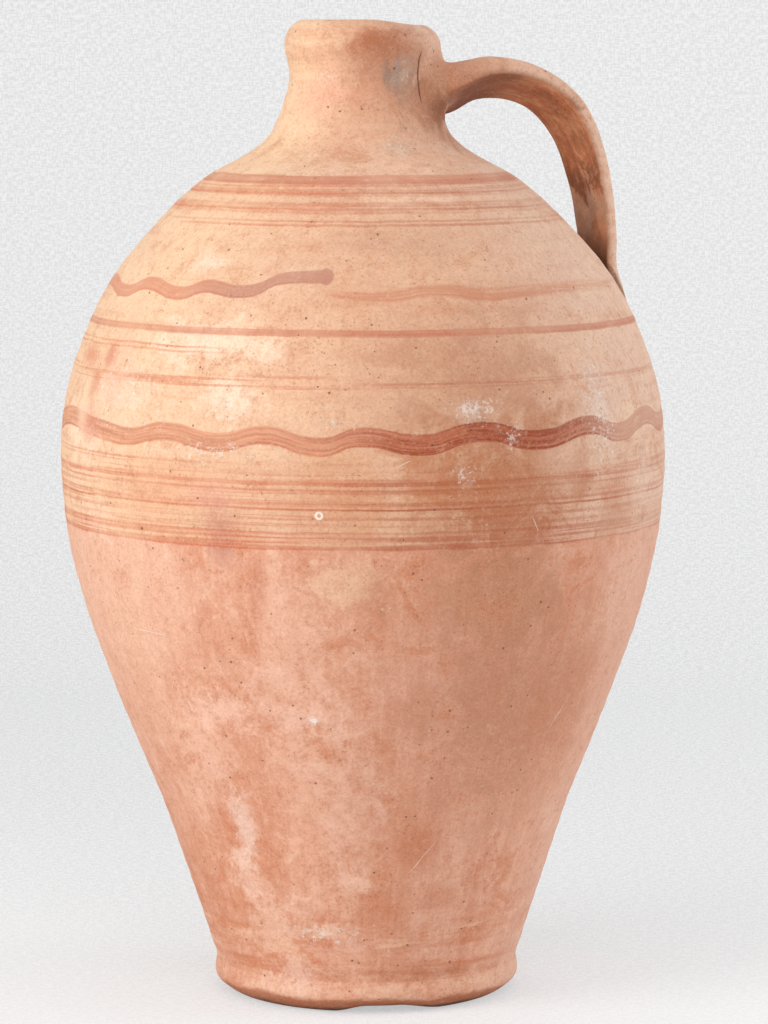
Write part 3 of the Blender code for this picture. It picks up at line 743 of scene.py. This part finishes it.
def jar_colour(b):
    """Bare clay below, slip above, and the brushed bands and waves over it."""
    level = b.height + b.waver
    colour = b.tint(b.fade(level, 220.6, 221.8), bare_clay_colour(b), slip_colour(b))
    colour = marked(b, colour, ALL_STAINS_AND_SHADE)
    thin = b.math("MULTIPLY_ADD", b.fade(b.patch, 0.36, 0.6), 0.5, 0.6)
    # Towards the right side the lines and the main wave are fainter and paler: partly the paint's own unevenness,
    # partly painted sheen.
    right = b.toward_side(34, 66)
    lines = band_cover(b, level, thin, THIN_LINES) * b.math("MULTIPLY_ADD", right, -0.35, 1)
    darker = b.toward_side(-20, 10)
    colour = b.tint(lines, colour, b.tint(darker, (196, 92, 50), (170, 76, 44)))
    main_rows = wave_on(-180, -102, 269, 2.8, 21.5, 4.2) + list(MAIN_WAVE) + wave_on(89, 180, 269, 2.8, 21.5, 4.2)
    main, hairs = stroke_mask(b, [(-180, 269, 4.2)] + main_rows + [(180, 269, 4.2)], 0.45, 0.42, 0.85)
    upper_rows = [(-180, 331, 2.6)] + wave_on(-180, -92, 331, 2.0, 20, 2.6) + list(UPPER_WAVE)
    upper, _ = stroke_mask(b, upper_rows, 0.45, 0.3, 1.1)
    upper = upper * b.fade(b.turn, -7.6, -8.2) * b.fade(b.turn, -174, -171)
    upper = b.math("MAXIMUM", upper, b.fade(distance(b, -8.3, 338, 111), 3.9, 3.1))
    second_rows = [(-180, 330, 0.0)] + list(SECOND_STROKE) + wave_on(80, 170, 330.5, 1.2, 24, 2.2) + [(180, 330, 0.0)]
    second, _ = stroke_mask(b, second_rows, 1.1, 1.0, 1.3)
    middle = b.fade(b.turn, -12, 14) * b.front * (1 - right * 0.55)
    slant = (b.height - 268) * 0.25 + b.ragged * 2.5
    gap = b.math("MULTIPLY_ADD", b.fade(abs(b.turn + 65.5 + slant), 0.5, 5), 0.75, 0.25)
    worn = 1 - b.fade(b.sand + b.swing(b.mottle, 0.6), 0.5, 0.64) * 0.5
    main_cover = b.math("MULTIPLY_ADD", middle, 0.3, 0.68) - right * 0.3
    streak = b.fade(hairs, 0.6, 0.42)
    red = b.tint(streak, (172, 84, 54), (204, 118, 82))
    brown = b.tint(streak, (142, 58, 32), (174, 82, 48))
    strokes = (
        (band_cover(b, level, thin, THICK_BANDS), 0.95, (186, 102, 74)),
        (second * b.fade(b.turn, 88, 30), 0.55, (192, 108, 72)),
        (upper, 0.68, b.tint(b.fade(b.turn, -50, -26), (196, 112, 84), (168, 104, 90))),
        (main * gap * main_cover, 1.0, b.tint(right, b.tint(middle, red, brown), (170, 92, 68))),
    )
    for cover, strength, paint in strokes:
        colour = b.tint(cover * worn * strength, colour, paint)
    return marked(b, colour, DABS)


def white_crumbs(b):
    """How far mineral crust and scratches whiten the skin."""
    zone = 0.0
    for turn, height, radius, wide, tall, strength in CRUST:
        zone = b.math("MAXIMUM", zone, smudge(b, turn, height, radius, wide, tall) * strength)
    grain = b.grain(b.point, 430, 4, 0.85) + b.swing(b.blotch, 0.5)
    crumbs = b.fade(grain + zone * 0.12, 0.61, 0.68) * b.fade(zone, 0.0, 0.5)
    cover = crumbs * 0.5
    for turn, height, radius, long, thick, slope, strength in SCRATCHES:
        cover = b.math("MAXIMUM", cover, smudge(b, turn, height, radius, long, thick, slope) * strength)
    ring = distance(b, -7.9, 235.7, 139) + b.ragged * 0.6
    chip = b.fade(ring, 2.1, 1.6) * b.fade(ring, 0.5, 1.2)
    return b.math("MAXIMUM", cover, chip * 0.85)


def holes(b):
    """Burnt-out pits in the clay, ragged, few and of all sizes."""
    ragged = b.swing(b.sand, 0.16)
    pits = 0.0
    for scale, biggest, rarity in ((240.0, 0.17, 0.45), (72.0, 0.07, 0.6)):
        cell = b.lay_all("ShaderNodeTexVoronoi", {"Vector": b.point, "Scale": scale})
        pick = b.lay_all("ShaderNodeSeparateColor", {0: cell["Color"]})
        size = b.math("MULTIPLY_ADD", b.math("POWER", pick["Green"], 2), biggest * 0.7, biggest * 0.3)
        near = b.fade(cell["Distance"] + ragged, size, size * 0.4)
        pits = b.math("MAXIMUM", pits, near * b.fade(pick["Red"], rarity, rarity + 0.1))
    return pits


def finish_clay(name, colour_of, on_wall=True):
    """A clay material from a colour recipe, with pits, sand, specks and wiping lines."""
    material = bpy.data.materials.new(name)
    material.use_nodes = True
    tree = material.node_tree
    surface = tree.nodes["Principled BSDF"]
    b = Skin(tree)
    pits = holes(b)
    colour = colour_of(b)
    colour = b.stain(
        colour,
        (b.mottle, 0.46, 0.74, 0.3, (182, 112, 78)),
        (b.mottle, 0.48, 0.26, 0.2, (240, 206, 182)),
        (b.sand, 0.44, 0.74, 0.32, (146, 88, 60)),
        (b.sand, 0.48, 0.26, 0.16, (246, 216, 192)),
    )
    dirt = b.fade(b.sand, 0.61, 0.67) * b.fade(b.blotch, 0.46, 0.6)
    colour = b.tint(dirt * 0.6, colour, (112, 66, 42))
    crumbs = white_crumbs(b) if on_wall else 0.0
    colour = b.tint(crumbs, colour, (240, 228, 216))
    colour = b.tint(pits * 0.7, colour, (116, 68, 44))
    b.feed(surface.inputs["Base Color"], colour)
    b.feed(surface.inputs["Roughness"], b.math("MULTIPLY_ADD", b.mottle, 0.22, 0.64))
    surface.inputs["Specular IOR Level"].default_value = 0.3
    lumps = b.grain(b.point, 85, 3, 0.5) * 0.4
    height = b.sand * 0.1 + b.mottle * 0.2 + crumbs * 0.14 + (b.wiping * 0.1 + lumps)
    bump = b.lay("ShaderNodeBump", {"Height": height - pits * 0.45, "Distance": MM, "Strength": 1.0})
    b.feed(surface.inputs["Normal"], bump)
    return material


def foot_colour(b):
    """The foot's clay, paler on its flange and browner where its lower edge has worn."""
    colour = b.tint(0.3, marked(b, bare_clay_colour(b), FOOT_STAINS), (226, 180, 152))
    level = b.height + (b.swing(b.patch, 7) + b.swing(b.blotch, 7)) + b.swing(b.mottle, 3)
    return b.stain(colour, (level, 7.6, 5.4, 0.8, (172, 100, 62)), (level, 2.8, 0.8, 0.7, (100, 60, 42)))


def handle_colour(b):
    """Slip on the back and edges; the inner face is rubbed brown and darkest at the root, and painted shade darkens
    it towards the tail.
    """
    colour = marked(b, slip_colour(b), NECK_STAINS_AND_SHADE)
    inner, along, grime_and_shade = (
        b.lay("ShaderNodeAttribute", output="Fac", attribute_name=name) for name in ("inner", "along", "grime_and_shade")
    )
    root = b.fade(along, 0.14, 0.0) * b.fade(along, -0.1, -0.05)
    colour = b.tint(root * (b.fade(b.blotch, 0.4, 0.62) * 0.55), colour, (188, 114, 80))
    colour = b.tint(b.fade(b.height, 412, 402) * b.fade(along, 0.1, -0.02), colour, (150, 90, 56))
    hairs = b.grain(b.stretch(b.point, (30, 420, 30)), 1, 3, 0.65)
    brown = b.tint(b.fade(b.blotch, 0.38, 0.62), (202, 126, 84), (234, 170, 124))
    brown = b.stain(
        brown,
        (hairs, 0.44, 0.7, 0.45, (140, 78, 46)),
        (b.mottle, 0.5, 0.3, 0.4, (230, 170, 122)),
        (b.patch, 0.5, 0.62, 0.6, (132, 78, 48)),
        (along, 0.26, 0.04, 0.85, (132, 74, 44)),
    )
    ragged = along + b.swing(b.blotch, 0.45)
    grey = b.fade(ragged, 0.54, 0.6) * b.fade(ragged, 0.74, 0.66)
    brown = b.tint(grey * 0.55, brown, (206, 180, 156))
    burnt = b.fade(abs(ragged - 0.51), 0.07, 0.02) * b.fade(b.mottle, 0.35, 0.6)
    brown = b.tint(burnt * 0.6, brown, (90, 60, 36))
    # Painted shade: almost black towards the tail, in the gap between the strap and the shoulder.
    brown = b.stain(brown, (along, 0.66, 0.79, 0.9, (72, 44, 30)))
    colour = b.tint(inner * 0.95, colour, brown)
    # Darker along the strap's edges and the root's seam, and painted shade in the gap over the belly and on the
    # tail's clay.
    return b.tint(grime_and_shade * 0.8, colour, (104, 60, 38))


SLIPPED = finish_clay("slipped clay", jar_colour)
BARE = SLIPPED.copy()
BARE.name = "bare clay"
FOOT_CLAY = finish_clay("foot clay", foot_colour, False)
HANDLE_CLAY = finish_clay("handle clay", handle_colour, False)

# The thrown members

WHEEL = wheel_tree()


# Points under the foot and on the floor inside: radius and height in millimetres
UNDERSIDE = ((0, 3), (12, 2.95), (24, 2.6), (36, 1.8), (46, 0.5), (48.5, 0.08), (50, 0), (56, 0))
FLOOR_INSIDE = ((64, SEAT + 0.4), (58.8, SEAT + 0.6), (56, 17), (30, 17), (0, 17))
# The lip's points past this radius, or over this height, are its outer side
LIP_OUTER_RADIUS = 27.5
LIP_OUTER_HEIGHT = 448


def foot_slab():
    """The base disc, hollowed a little underneath."""
    outside = [Vector(point) for point in UNDERSIDE]
    outside += evenly(curve_through([(radius, height) for height, radius in FOOT], 10), 26)
    inside = [Vector(point) for point in FLOOR_INSIDE]
    return thrown("foot_slab_clay", outside, inside, FOOT_CLAY, open_ends=True)


def wall(name, low, high, clay):
    return thrown(name, skin_span(low, high), inside_span(low, high), clay)


def rolled_rim():
    outside, inside = [], []
    for point in evenly(curve_through([(radius, height) for height, radius in LIP], 12), 40):
        outer = point.x > LIP_OUTER_RADIUS or point.y > LIP_OUTER_HEIGHT
        (outside if outer else inside).append(point)
    return thrown("rolled_rim", outside, inside, SLIPPED)


members = {
    "foot_slab": foot_slab(),
    "lower_wall": wall("lower_wall_clay", SEAT, BELLY_JOINT, BARE),
    "upper_wall": wall("upper_wall_clay", BELLY_JOINT, WALL_TOP, SLIPPED),
    "neck": wall("neck_clay", WALL_TOP, RIM_BASE, SLIPPED),
    "rim": rolled_rim(),
}

# The pulled strap, its root and its tail, on the walls as thrown

SKINS = [BVHTree.FromPolygons([v.co for v in piece.data.vertices], [p.vertices for p in piece.data.polygons])
         for name, piece in members.items() if name in ("upper_wall", "neck", "rim")]


def on_pot(angle, height, rise):
    """Point of the thrown pot at an angle round from the handle and a height in millimetres, lifted by a rise."""
    out = Vector((math.cos(angle), math.sin(angle), 0))
    start = out * 0.3 + Vector((0, 0, height * MM))
    best = None
    for skin in SKINS:
        hit, normal, _, distance = skin.ray_cast(start, -out)
        if hit and (best is None or distance < best[2]):
            best = (hit, normal, distance)
    hit, normal, _ = best
    return hit + normal * rise * MM, normal


# Middle of the strap's inner face, root to tail: distance from the axis and height in millimetres
STRAP_PATH = (
    (29.6, 411.0), (42.3, 412.8), (57.9, 418.9), (75.1, 418.0), (90.5, 410.8), (102.8, 395.7),
    (110.5, 373.3), (114.2, 348.5), (115.4, 334.0), (121.8, 319.0), (129.0, 303.5),
)
STRAP_THICKNESS = (
    (0.0, 16.6), (0.08, 15.6), (0.11, 14.2), (0.14, 12.4), (0.2, 10.2), (0.27, 8.8), (0.36, 8.2),
    (0.68, 7.2), (0.86, 6.6), (0.93, 5.2), (0.975, 2.8), (1.0, 0.8),
)
# Half of the strap's section: share of the half width, share of the thickness
SECTION = (
    (0.0, 0.03), (0.5, 0.04), (0.82, 0.0), (0.93, 0.0), (0.985, 0.06), (1.0, 0.2), (1.0, 0.36),
    (0.97, 0.55), (0.88, 0.76), (0.68, 0.92), (0.36, 0.99), (0.0, 1.0),
)
# Scales at which the section's curve is drawn
SECTION_HALF = 17
SECTION_DEEP = 8
# How finely the strap is divided, and the ring at which its root's clay takes over
STATIONS = 150
RING_POINTS = 96
ROOT_STATION = 16

ROOT_TWIST = 28
ARCH_TWIST = 8
TAIL_TWIST = -4
ROOT_SHIFT = -9
ROOT_HALF_WIDTH = 18.5
TAIL_HALF_WIDTH = 16.5
TIP_START = 0.9


def section():
    """The strap's section as one ring of points, from the middle of its inner face."""
    half = list(SECTION)
    loop = half + [(-side, up) for side, up in half[-2:0:-1]] + [half[0]]
    return evenly(curve_through([(side * SECTION_HALF, up * SECTION_DEEP) for side, up in loop], 8), RING_POINTS)[:-1]


def strap_rings():
    """Rings of the strap from inside the neck to its rounded tip, twisted as it was pulled and lightly lumpy."""
    path = evenly(curve_through(STRAP_PATH, 16), STATIONS)
    outline = section()
    rings = []
    for index, point in enumerate(path):
        share = index / STATIONS
        ahead = path[min(index + 1, STATIONS)] - path[max(index - 1, 0)]
        along = Vector((ahead.x, 0, ahead.y)).normalized()
        back = Vector((-along.z, 0, along.x))
        side = Vector((0, -1, 0))
        twist = mix(ROOT_TWIST, ARCH_TWIST, min(share / 0.5, 1))
        twist = math.radians(mix(twist, TAIL_TWIST, max(share - 0.5, 0) / 0.5))
        across = side * math.cos(twist) + back * math.sin(twist)
        outward = back * math.cos(twist) - side * math.sin(twist)
        lean = ACROSS * table_at(LEAN, point.y)
        middle = Vector((point.x, ROOT_SHIFT * (1 - share), point.y)) + lean
        tip = min(max(share - TIP_START, 0) / 0.1, 1)
        half = mix(ROOT_HALF_WIDTH, TAIL_HALF_WIDTH, share) * math.sqrt(1.02 - tip ** 3)
        thickness = table_at(STRAP_THICKNESS, share)
        ring = []
        for flat in outline:
            spot = middle + across * half * flat.x / SECTION_HALF + outward * thickness * flat.y / SECTION_DEEP
            lump = noise.noise(spot / 11) * 0.35 + noise.noise(spot / 4) * 0.12
            ring.append((spot + (spot - middle).normalized() * lump) * MM)
        rings.append(ring)
    return rings


def inner_share(flat):
    """1 on the strap's inner face, 0 on its edges and back."""
    return ease(abs(flat.x), 16.4, 15.6) * ease(flat.y, 3.0, 1.2) if flat.y < 4 else 0.0


def luted(name, points, faces, inner, along, grime_and_shade, crease):
    """Closed member in handle clay, with the three values that its colours read, creased past an angle in degrees."""
    mesh = bpy.data.meshes.new(name)
    mesh.from_pydata(points, [], faces)
    for value, numbers in (("inner", inner), ("along", along), ("grime_and_shade", grime_and_shade)):
        mesh.attributes.new(value, "FLOAT", "POINT").data.foreach_set("value", numbers)
    shape = bmesh.new()
    shape.from_mesh(mesh)
    bmesh.ops.recalc_face_normals(shape, faces=shape.faces)
    shape.to_mesh(mesh)
    shape.free()
    mesh.shade_smooth()
    mesh.set_sharp_from_angle(angle=math.radians(crease))
    mesh.materials.append(HANDLE_CLAY)
    return link(name, mesh)


def loft(name, rings, inner, along, grime_and_shade):
    """Closed member through rings of points."""
    points = [point for ring in rings for point in ring]
    count = len(rings[0])
    faces = []
    for row in range(len(rings) - 1):
        for here in range(count):
            there = (here + 1) % count
            a, z = row * count, (row + 1) * count
            faces.append((a + here, a + there, z + there, z + here))
    faces.append(tuple(range(count)))
    faces.append(tuple(range(len(points) - count, len(points))))
    return luted(name, points, faces, inner, along, grime_and_shade, 60)


RINGS = strap_rings()
INNER = [inner_share(flat) for flat in section()]


def strap():
    """The strap from its root to its tip, darker along the edges of its inner face, with painted shade in the narrow
    gap over the belly.
    """
    rings = RINGS[ROOT_STATION:]
    along = [index / (STATIONS - ROOT_STATION) for index in range(len(rings)) for _ in INNER]
    edges = [ease(abs(flat.x), 14.6, 16.4) * ease(flat.y, 1.8, 0.6) * 0.35 for flat in section()]
    sides = [ease(flat.y, 6.5, 5) for flat in section()]
    belly = SKINS[0]
    grime_and_shade = []
    # Painted shade: towards the tail the strap's lower sides darken where they come within a few millimetres of the
    # belly.
    for index, ring in enumerate(rings):
        low = ease(index / (STATIONS - ROOT_STATION), 0.74, 0.8)
        for spot, edge, side in zip(ring, edges, sides):
            gap = belly.find_nearest(spot)[3] / MM if low * side else 9
            grime_and_shade.append(max(edge, low * side * ease(gap, 5.2, 3.6)))
    return loft("strap", rings, INNER * len(rings), along, grime_and_shade)


# Edge of the root's clay on the neck and lip, from under the strap round its near side: degrees round
# from the handle and height
ROOT_MARGIN = (
    (0, 399.5), (-20, 400), (-38, 402.5), (-54, 406), (-61, 412), (-61.5, 419), (-62, 426), (-62.5, 433),
    (-58, 438.5), (-45, 441.5), (-31, 444), (-16, 445.3), (0, 445.6), (16, 445), (32, 442.5), (45, 437),
    (53, 430.5), (56, 424), (53, 416), (44, 408.5), (30, 402.5), (14, 400),
)


# The neck's radius where the root's clay lies, how deep its hidden side is, and where its middle is
ROOT_RADIUS = 36
BURIED = -3
ROOT_MIDDLE = (math.radians(-3), 423)


def root_margin():
    """The margin as one ring of angles in radians and heights."""
    loop = [(math.radians(turn) * ROOT_RADIUS, height) for turn, height in ROOT_MARGIN]
    spots = evenly(curve_through(loop + loop[:1], 12), RING_POINTS)[:-1]
    return [(spot.x / ROOT_RADIUS, spot.y) for spot in spots]


def strap_root():
    """Clay wiped from the neck and lip up to the strap, in one hollow curve; its near edge stands proud."""
    end = RINGS[ROOT_STATION]
    before = RINGS[ROOT_STATION - 2]
    steps = 26
    margin = root_margin()
    seam = [
        ease(math.degrees(-angle), 52, 60) * ease(height, 409, 415) * ease(height, 439, 433)
        for angle, height in margin
    ]
    ends = []
    for (angle, height), proud, last, inward in zip(margin, seam, end, before):
        edge, normal = on_pot(angle, height, 0.7 * proud - 0.3)
        deep, _ = on_pot(angle, height, BURIED)
        pull = last - edge
        reach = pull.length
        flat = (pull - normal * pull.dot(normal)).normalized()
        flow = (last - inward).normalized()
        out = Vector((math.cos(angle), math.sin(angle), 0))
        over_lip = edge + (out * 4.8 - Vector((0, 0, 1.8))) * MM
        leaving = (edge + flat * reach * 0.4).lerp(over_lip, ease(height, 436, 445))
        turn = mix(angle, math.atan2(last.y, last.x), 0.6)
        hollow = Vector((math.cos(turn) * 35 * MM, math.sin(turn) * 35 * MM, last.z - 1.2 * MM))
        arriving = (last - flow * reach * 0.5).lerp(hollow, ease(height, 424, 438))
        ends.append((deep, edge, leaving, arriving, last))
    turn, rise = ROOT_MIDDLE
    rings = [
        [on_pot(mix(turn, angle, share), mix(rise, height, share), BURIED)[0] for angle, height in margin]
        for share in (0.02, 0.25, 0.5, 0.75)
    ]
    buried = len(rings)
    rings.append([deep for deep, *_ in ends])
    for step in range(steps + 1):
        t = step / steps
        t = t * t * (3 - 2 * t) * 0.35 + t * 0.65
        rings.append([
            a * (1 - t) ** 3 + leaving * 3 * t * (1 - t) ** 2 + arriving * 3 * t * t * (1 - t) + z * t ** 3
            for _, a, leaving, arriving, z in ends
        ])
    fades = [0.0] * (buried + 1) + [ease(step / steps, 0.45, 1.0) for step in range(steps + 1)]
    inner = [value * fade for fade in fades for value in INNER]
    along = [(fade - 1) * 0.1 for fade in fades for _ in INNER]
    grime_and_shade = seam * (buried + 2) + [0.0] * (len(seam) * (len(rings) - buried - 2))
    return loft("strap_root", rings, inner, along, grime_and_shade)


# The tail's bed: half its width in degrees round the pot, and its heights
TAIL_TURN = 11
TAIL_LOW = 300
TAIL_MIDDLE = 318
TAIL_HIGH = 337


def strap_tail():
    """Thin bed of luting clay under the tail, wiped out to nothing past the strap's edges."""
    rows, columns = 30, 36
    top, under = [], []
    for row in range(rows + 1):
        for column in range(columns + 1):
            v, u = row / rows, column / columns
            narrow = 1 - 0.45 * abs(2 * v - 1) ** 3
            angle = mix(-TAIL_TURN, TAIL_TURN, u) * narrow
            height = TAIL_MIDDLE + (mix(TAIL_LOW, TAIL_HIGH, v) - TAIL_MIDDLE) * (1 - 0.16 * abs(2 * u - 1) ** 3)
            edge = min(u, 1 - u) * 2.6, min(v, 1 - v) * 3
            rise = 1.7 * ease(edge[0], 0, 0.5) * ease(edge[1], 0, 0.7) - 0.12
            rise += noise.noise(Vector((angle / 2, height / 5, 0))) * 0.15 * ease(min(edge), 0, 0.5)
            top.append(on_pot(math.radians(angle), height, rise)[0])
            under.append(on_pot(math.radians(angle), height, -1.2)[0])
    count = len(top)
    width = columns + 1
    faces = []
    for row in range(rows):
        for column in range(columns):
            a = row * width + column
            faces.append((a, a + 1, a + width + 1, a + width))
            faces.append((count + a, count + a + width, count + a + width + 1, count + a + 1))
    border = list(range(columns))
    border += [row * width + columns for row in range(rows)]
    border += [rows * width + column for column in range(columns, 0, -1)]
    border += [row * width for row in range(rows, 0, -1)]
    for here, there in zip(border, border[1:] + border[:1]):
        faces.append((here, count + here, count + there, there))
    # The tail's clay is darkened a little all over: painted shade of the narrow gap between the strap and the belly.
    return luted("tail_clay", top + under, faces, [0.0] * 2 * count, [1.0] * 2 * count, [0.15] * 2 * count, 50)


members["strap_handle"] = strap()
members["handle_root"] = strap_root()
members["tail_lute"] = strap_tail()

for node, piece in members.items():
    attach(piece, "root")
    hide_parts(node)

# The stage: a pale sweep, soft lamps and the camera, in metres

FLOOR_REACH = 4.0
BEND_START = 0.9
BEND_RADIUS = 0.5
BACKDROP_TOP = 2.2


def sweep():
    """Floor that curves up into a backdrop, seen from its front only."""
    profile = [(-FLOOR_REACH, 0.0), (BEND_START, 0.0)]
    for step in range(1, 17):
        turn = step * math.pi / 32
        profile.append((BEND_START + BEND_RADIUS * math.sin(turn), BEND_RADIUS - BEND_RADIUS * math.cos(turn)))
    profile.append((BEND_START + BEND_RADIUS, BACKDROP_TOP))
    points = []
    for away, height in profile:
        for side in (-FLOOR_REACH, FLOOR_REACH):
            spot = ACROSS * side - TOWARD * away
            points.append((spot.x, spot.y, height))
    faces = [(2 * i, 2 * i + 1, 2 * i + 3, 2 * i + 2) for i in range(len(profile) - 1)]
    mesh = bpy.data.meshes.new("floor")
    mesh.from_pydata(points, [], faces)
    mesh.shade_smooth()
    material = bpy.data.materials.new("pale cloth")
    material.use_nodes = True
    tree = material.node_tree
    b = Bench(tree)
    surface = tree.nodes["Principled BSDF"]
    surface.inputs["Roughness"].default_value = 0.95
    surface.inputs["Specular IOR Level"].default_value = 0.1
    surface.inputs["Base Color"].default_value = shade(236, 237, 238)
    place = b.lay("ShaderNodeTexCoord", output="Object")
    aside, ahead = b.dot(place, ACROSS), b.dot(place, Vector((0, 0, 1)) - TOWARD)
    warp = b.grain(b.vector(aside * 800, ahead * 240, 0), 1, 0)
    weft = b.grain(b.vector(aside * 240, ahead * 800, 9), 1, 0)
    # Painted light: the glow is brighter on the floor in front, towards the camera.
    near = b.fade(ahead, 0.6, -0.3)
    cloth = b.tint(b.fade(warp + weft, 0.7, 1.3), (214, 214, 214), (245, 245, 245))
    cloth = b.tint(near * 0.7, cloth, (252, 254, 255))
    glow = b.lay("ShaderNodeEmission", {"Color": cloth, "Strength": 1.0})
    seen = b.lay("ShaderNodeLightPath", output="Is Camera Ray")
    both = b.lay("ShaderNodeMixShader", {0: seen * 0.55, 1: Flow(b, surface.outputs[0]), 2: glow})
    behind = b.lay("ShaderNodeNewGeometry", output="Backfacing")
    clear = b.lay("ShaderNodeBsdfTransparent")
    both = b.lay("ShaderNodeMixShader", {0: behind, 1: both, 2: clear})
    b.feed(tree.nodes["Material Output"].inputs["Surface"], both)
    mesh.materials.append(material)
    return link("floor", mesh)


sweep()


def lamp(name, side, near, height, size, power, colour=(1, 1, 1)):
    """Soft square lamp, placed as the photograph sees it and turned to the pot's middle."""
    light = bpy.data.lights.new(name, "AREA")
    light.size = size
    light.energy = power
    light.color = colour
    spot = bpy.data.objects.new(name, light)
    spot.location = ACROSS * side + TOWARD * near + Vector((0, 0, height))
    aim = Vector((0, 0, 0.25)) - spot.location
    spot.rotation_euler = aim.to_track_quat("-Z", "Y").to_euler()
    bpy.context.scene.collection.objects.link(spot)


lamp("key lamp", -1.3, 0.9, 0.9, 1.0, 19.5, (1.0, 0.97, 0.93))
lamp("front lamp", 0.3, 2.2, 1.4, 1.4, 11.5)
lamp("side lamp", 1.7, -0.1, 0.7, 0.9, 11.5)
lamp("top lamp", 0.1, 0.5, 2.2, 1.6, 10)

world = bpy.data.worlds.new("room")
world.use_nodes = True
room = Bench(world.node_tree)
back = world.node_tree.nodes["Background"]
back.inputs["Color"].default_value = shade(240, 240, 242)
seen_plainly = room.lay("ShaderNodeLightPath", output="Is Camera Ray")
room.feed(back.inputs["Strength"], room.math("MULTIPLY_ADD", seen_plainly, 0.45, 0.43))
bpy.context.scene.world = world

# The camera as the photograph shows its place, with how far it looks down and aside in radians
LOOK_DOWN = 0.106416
LOOK_ASIDE = 0.004422
lens = bpy.data.cameras.new("camera")
lens.sensor_fit = "VERTICAL"
lens.sensor_height = 36
lens.sensor_width = 27
lens.lens = 159.93
camera = bpy.data.objects.new("camera", lens)
camera.location = TOWARD * 2.1 + ACROSS * 0.00045 + Vector((0, 0, 0.447))
look = ACROSS * math.sin(LOOK_ASIDE) * math.cos(LOOK_DOWN) - TOWARD * math.cos(LOOK_ASIDE) * math.cos(LOOK_DOWN)
look += Vector((0, 0, -math.sin(LOOK_DOWN)))
camera.rotation_euler = look.to_track_quat("-Z", "Y").to_euler()
bpy.context.scene.collection.objects.link(camera)
bpy.context.scene.camera = camera

bpy.context.scene.view_settings.view_transform = "Standard"
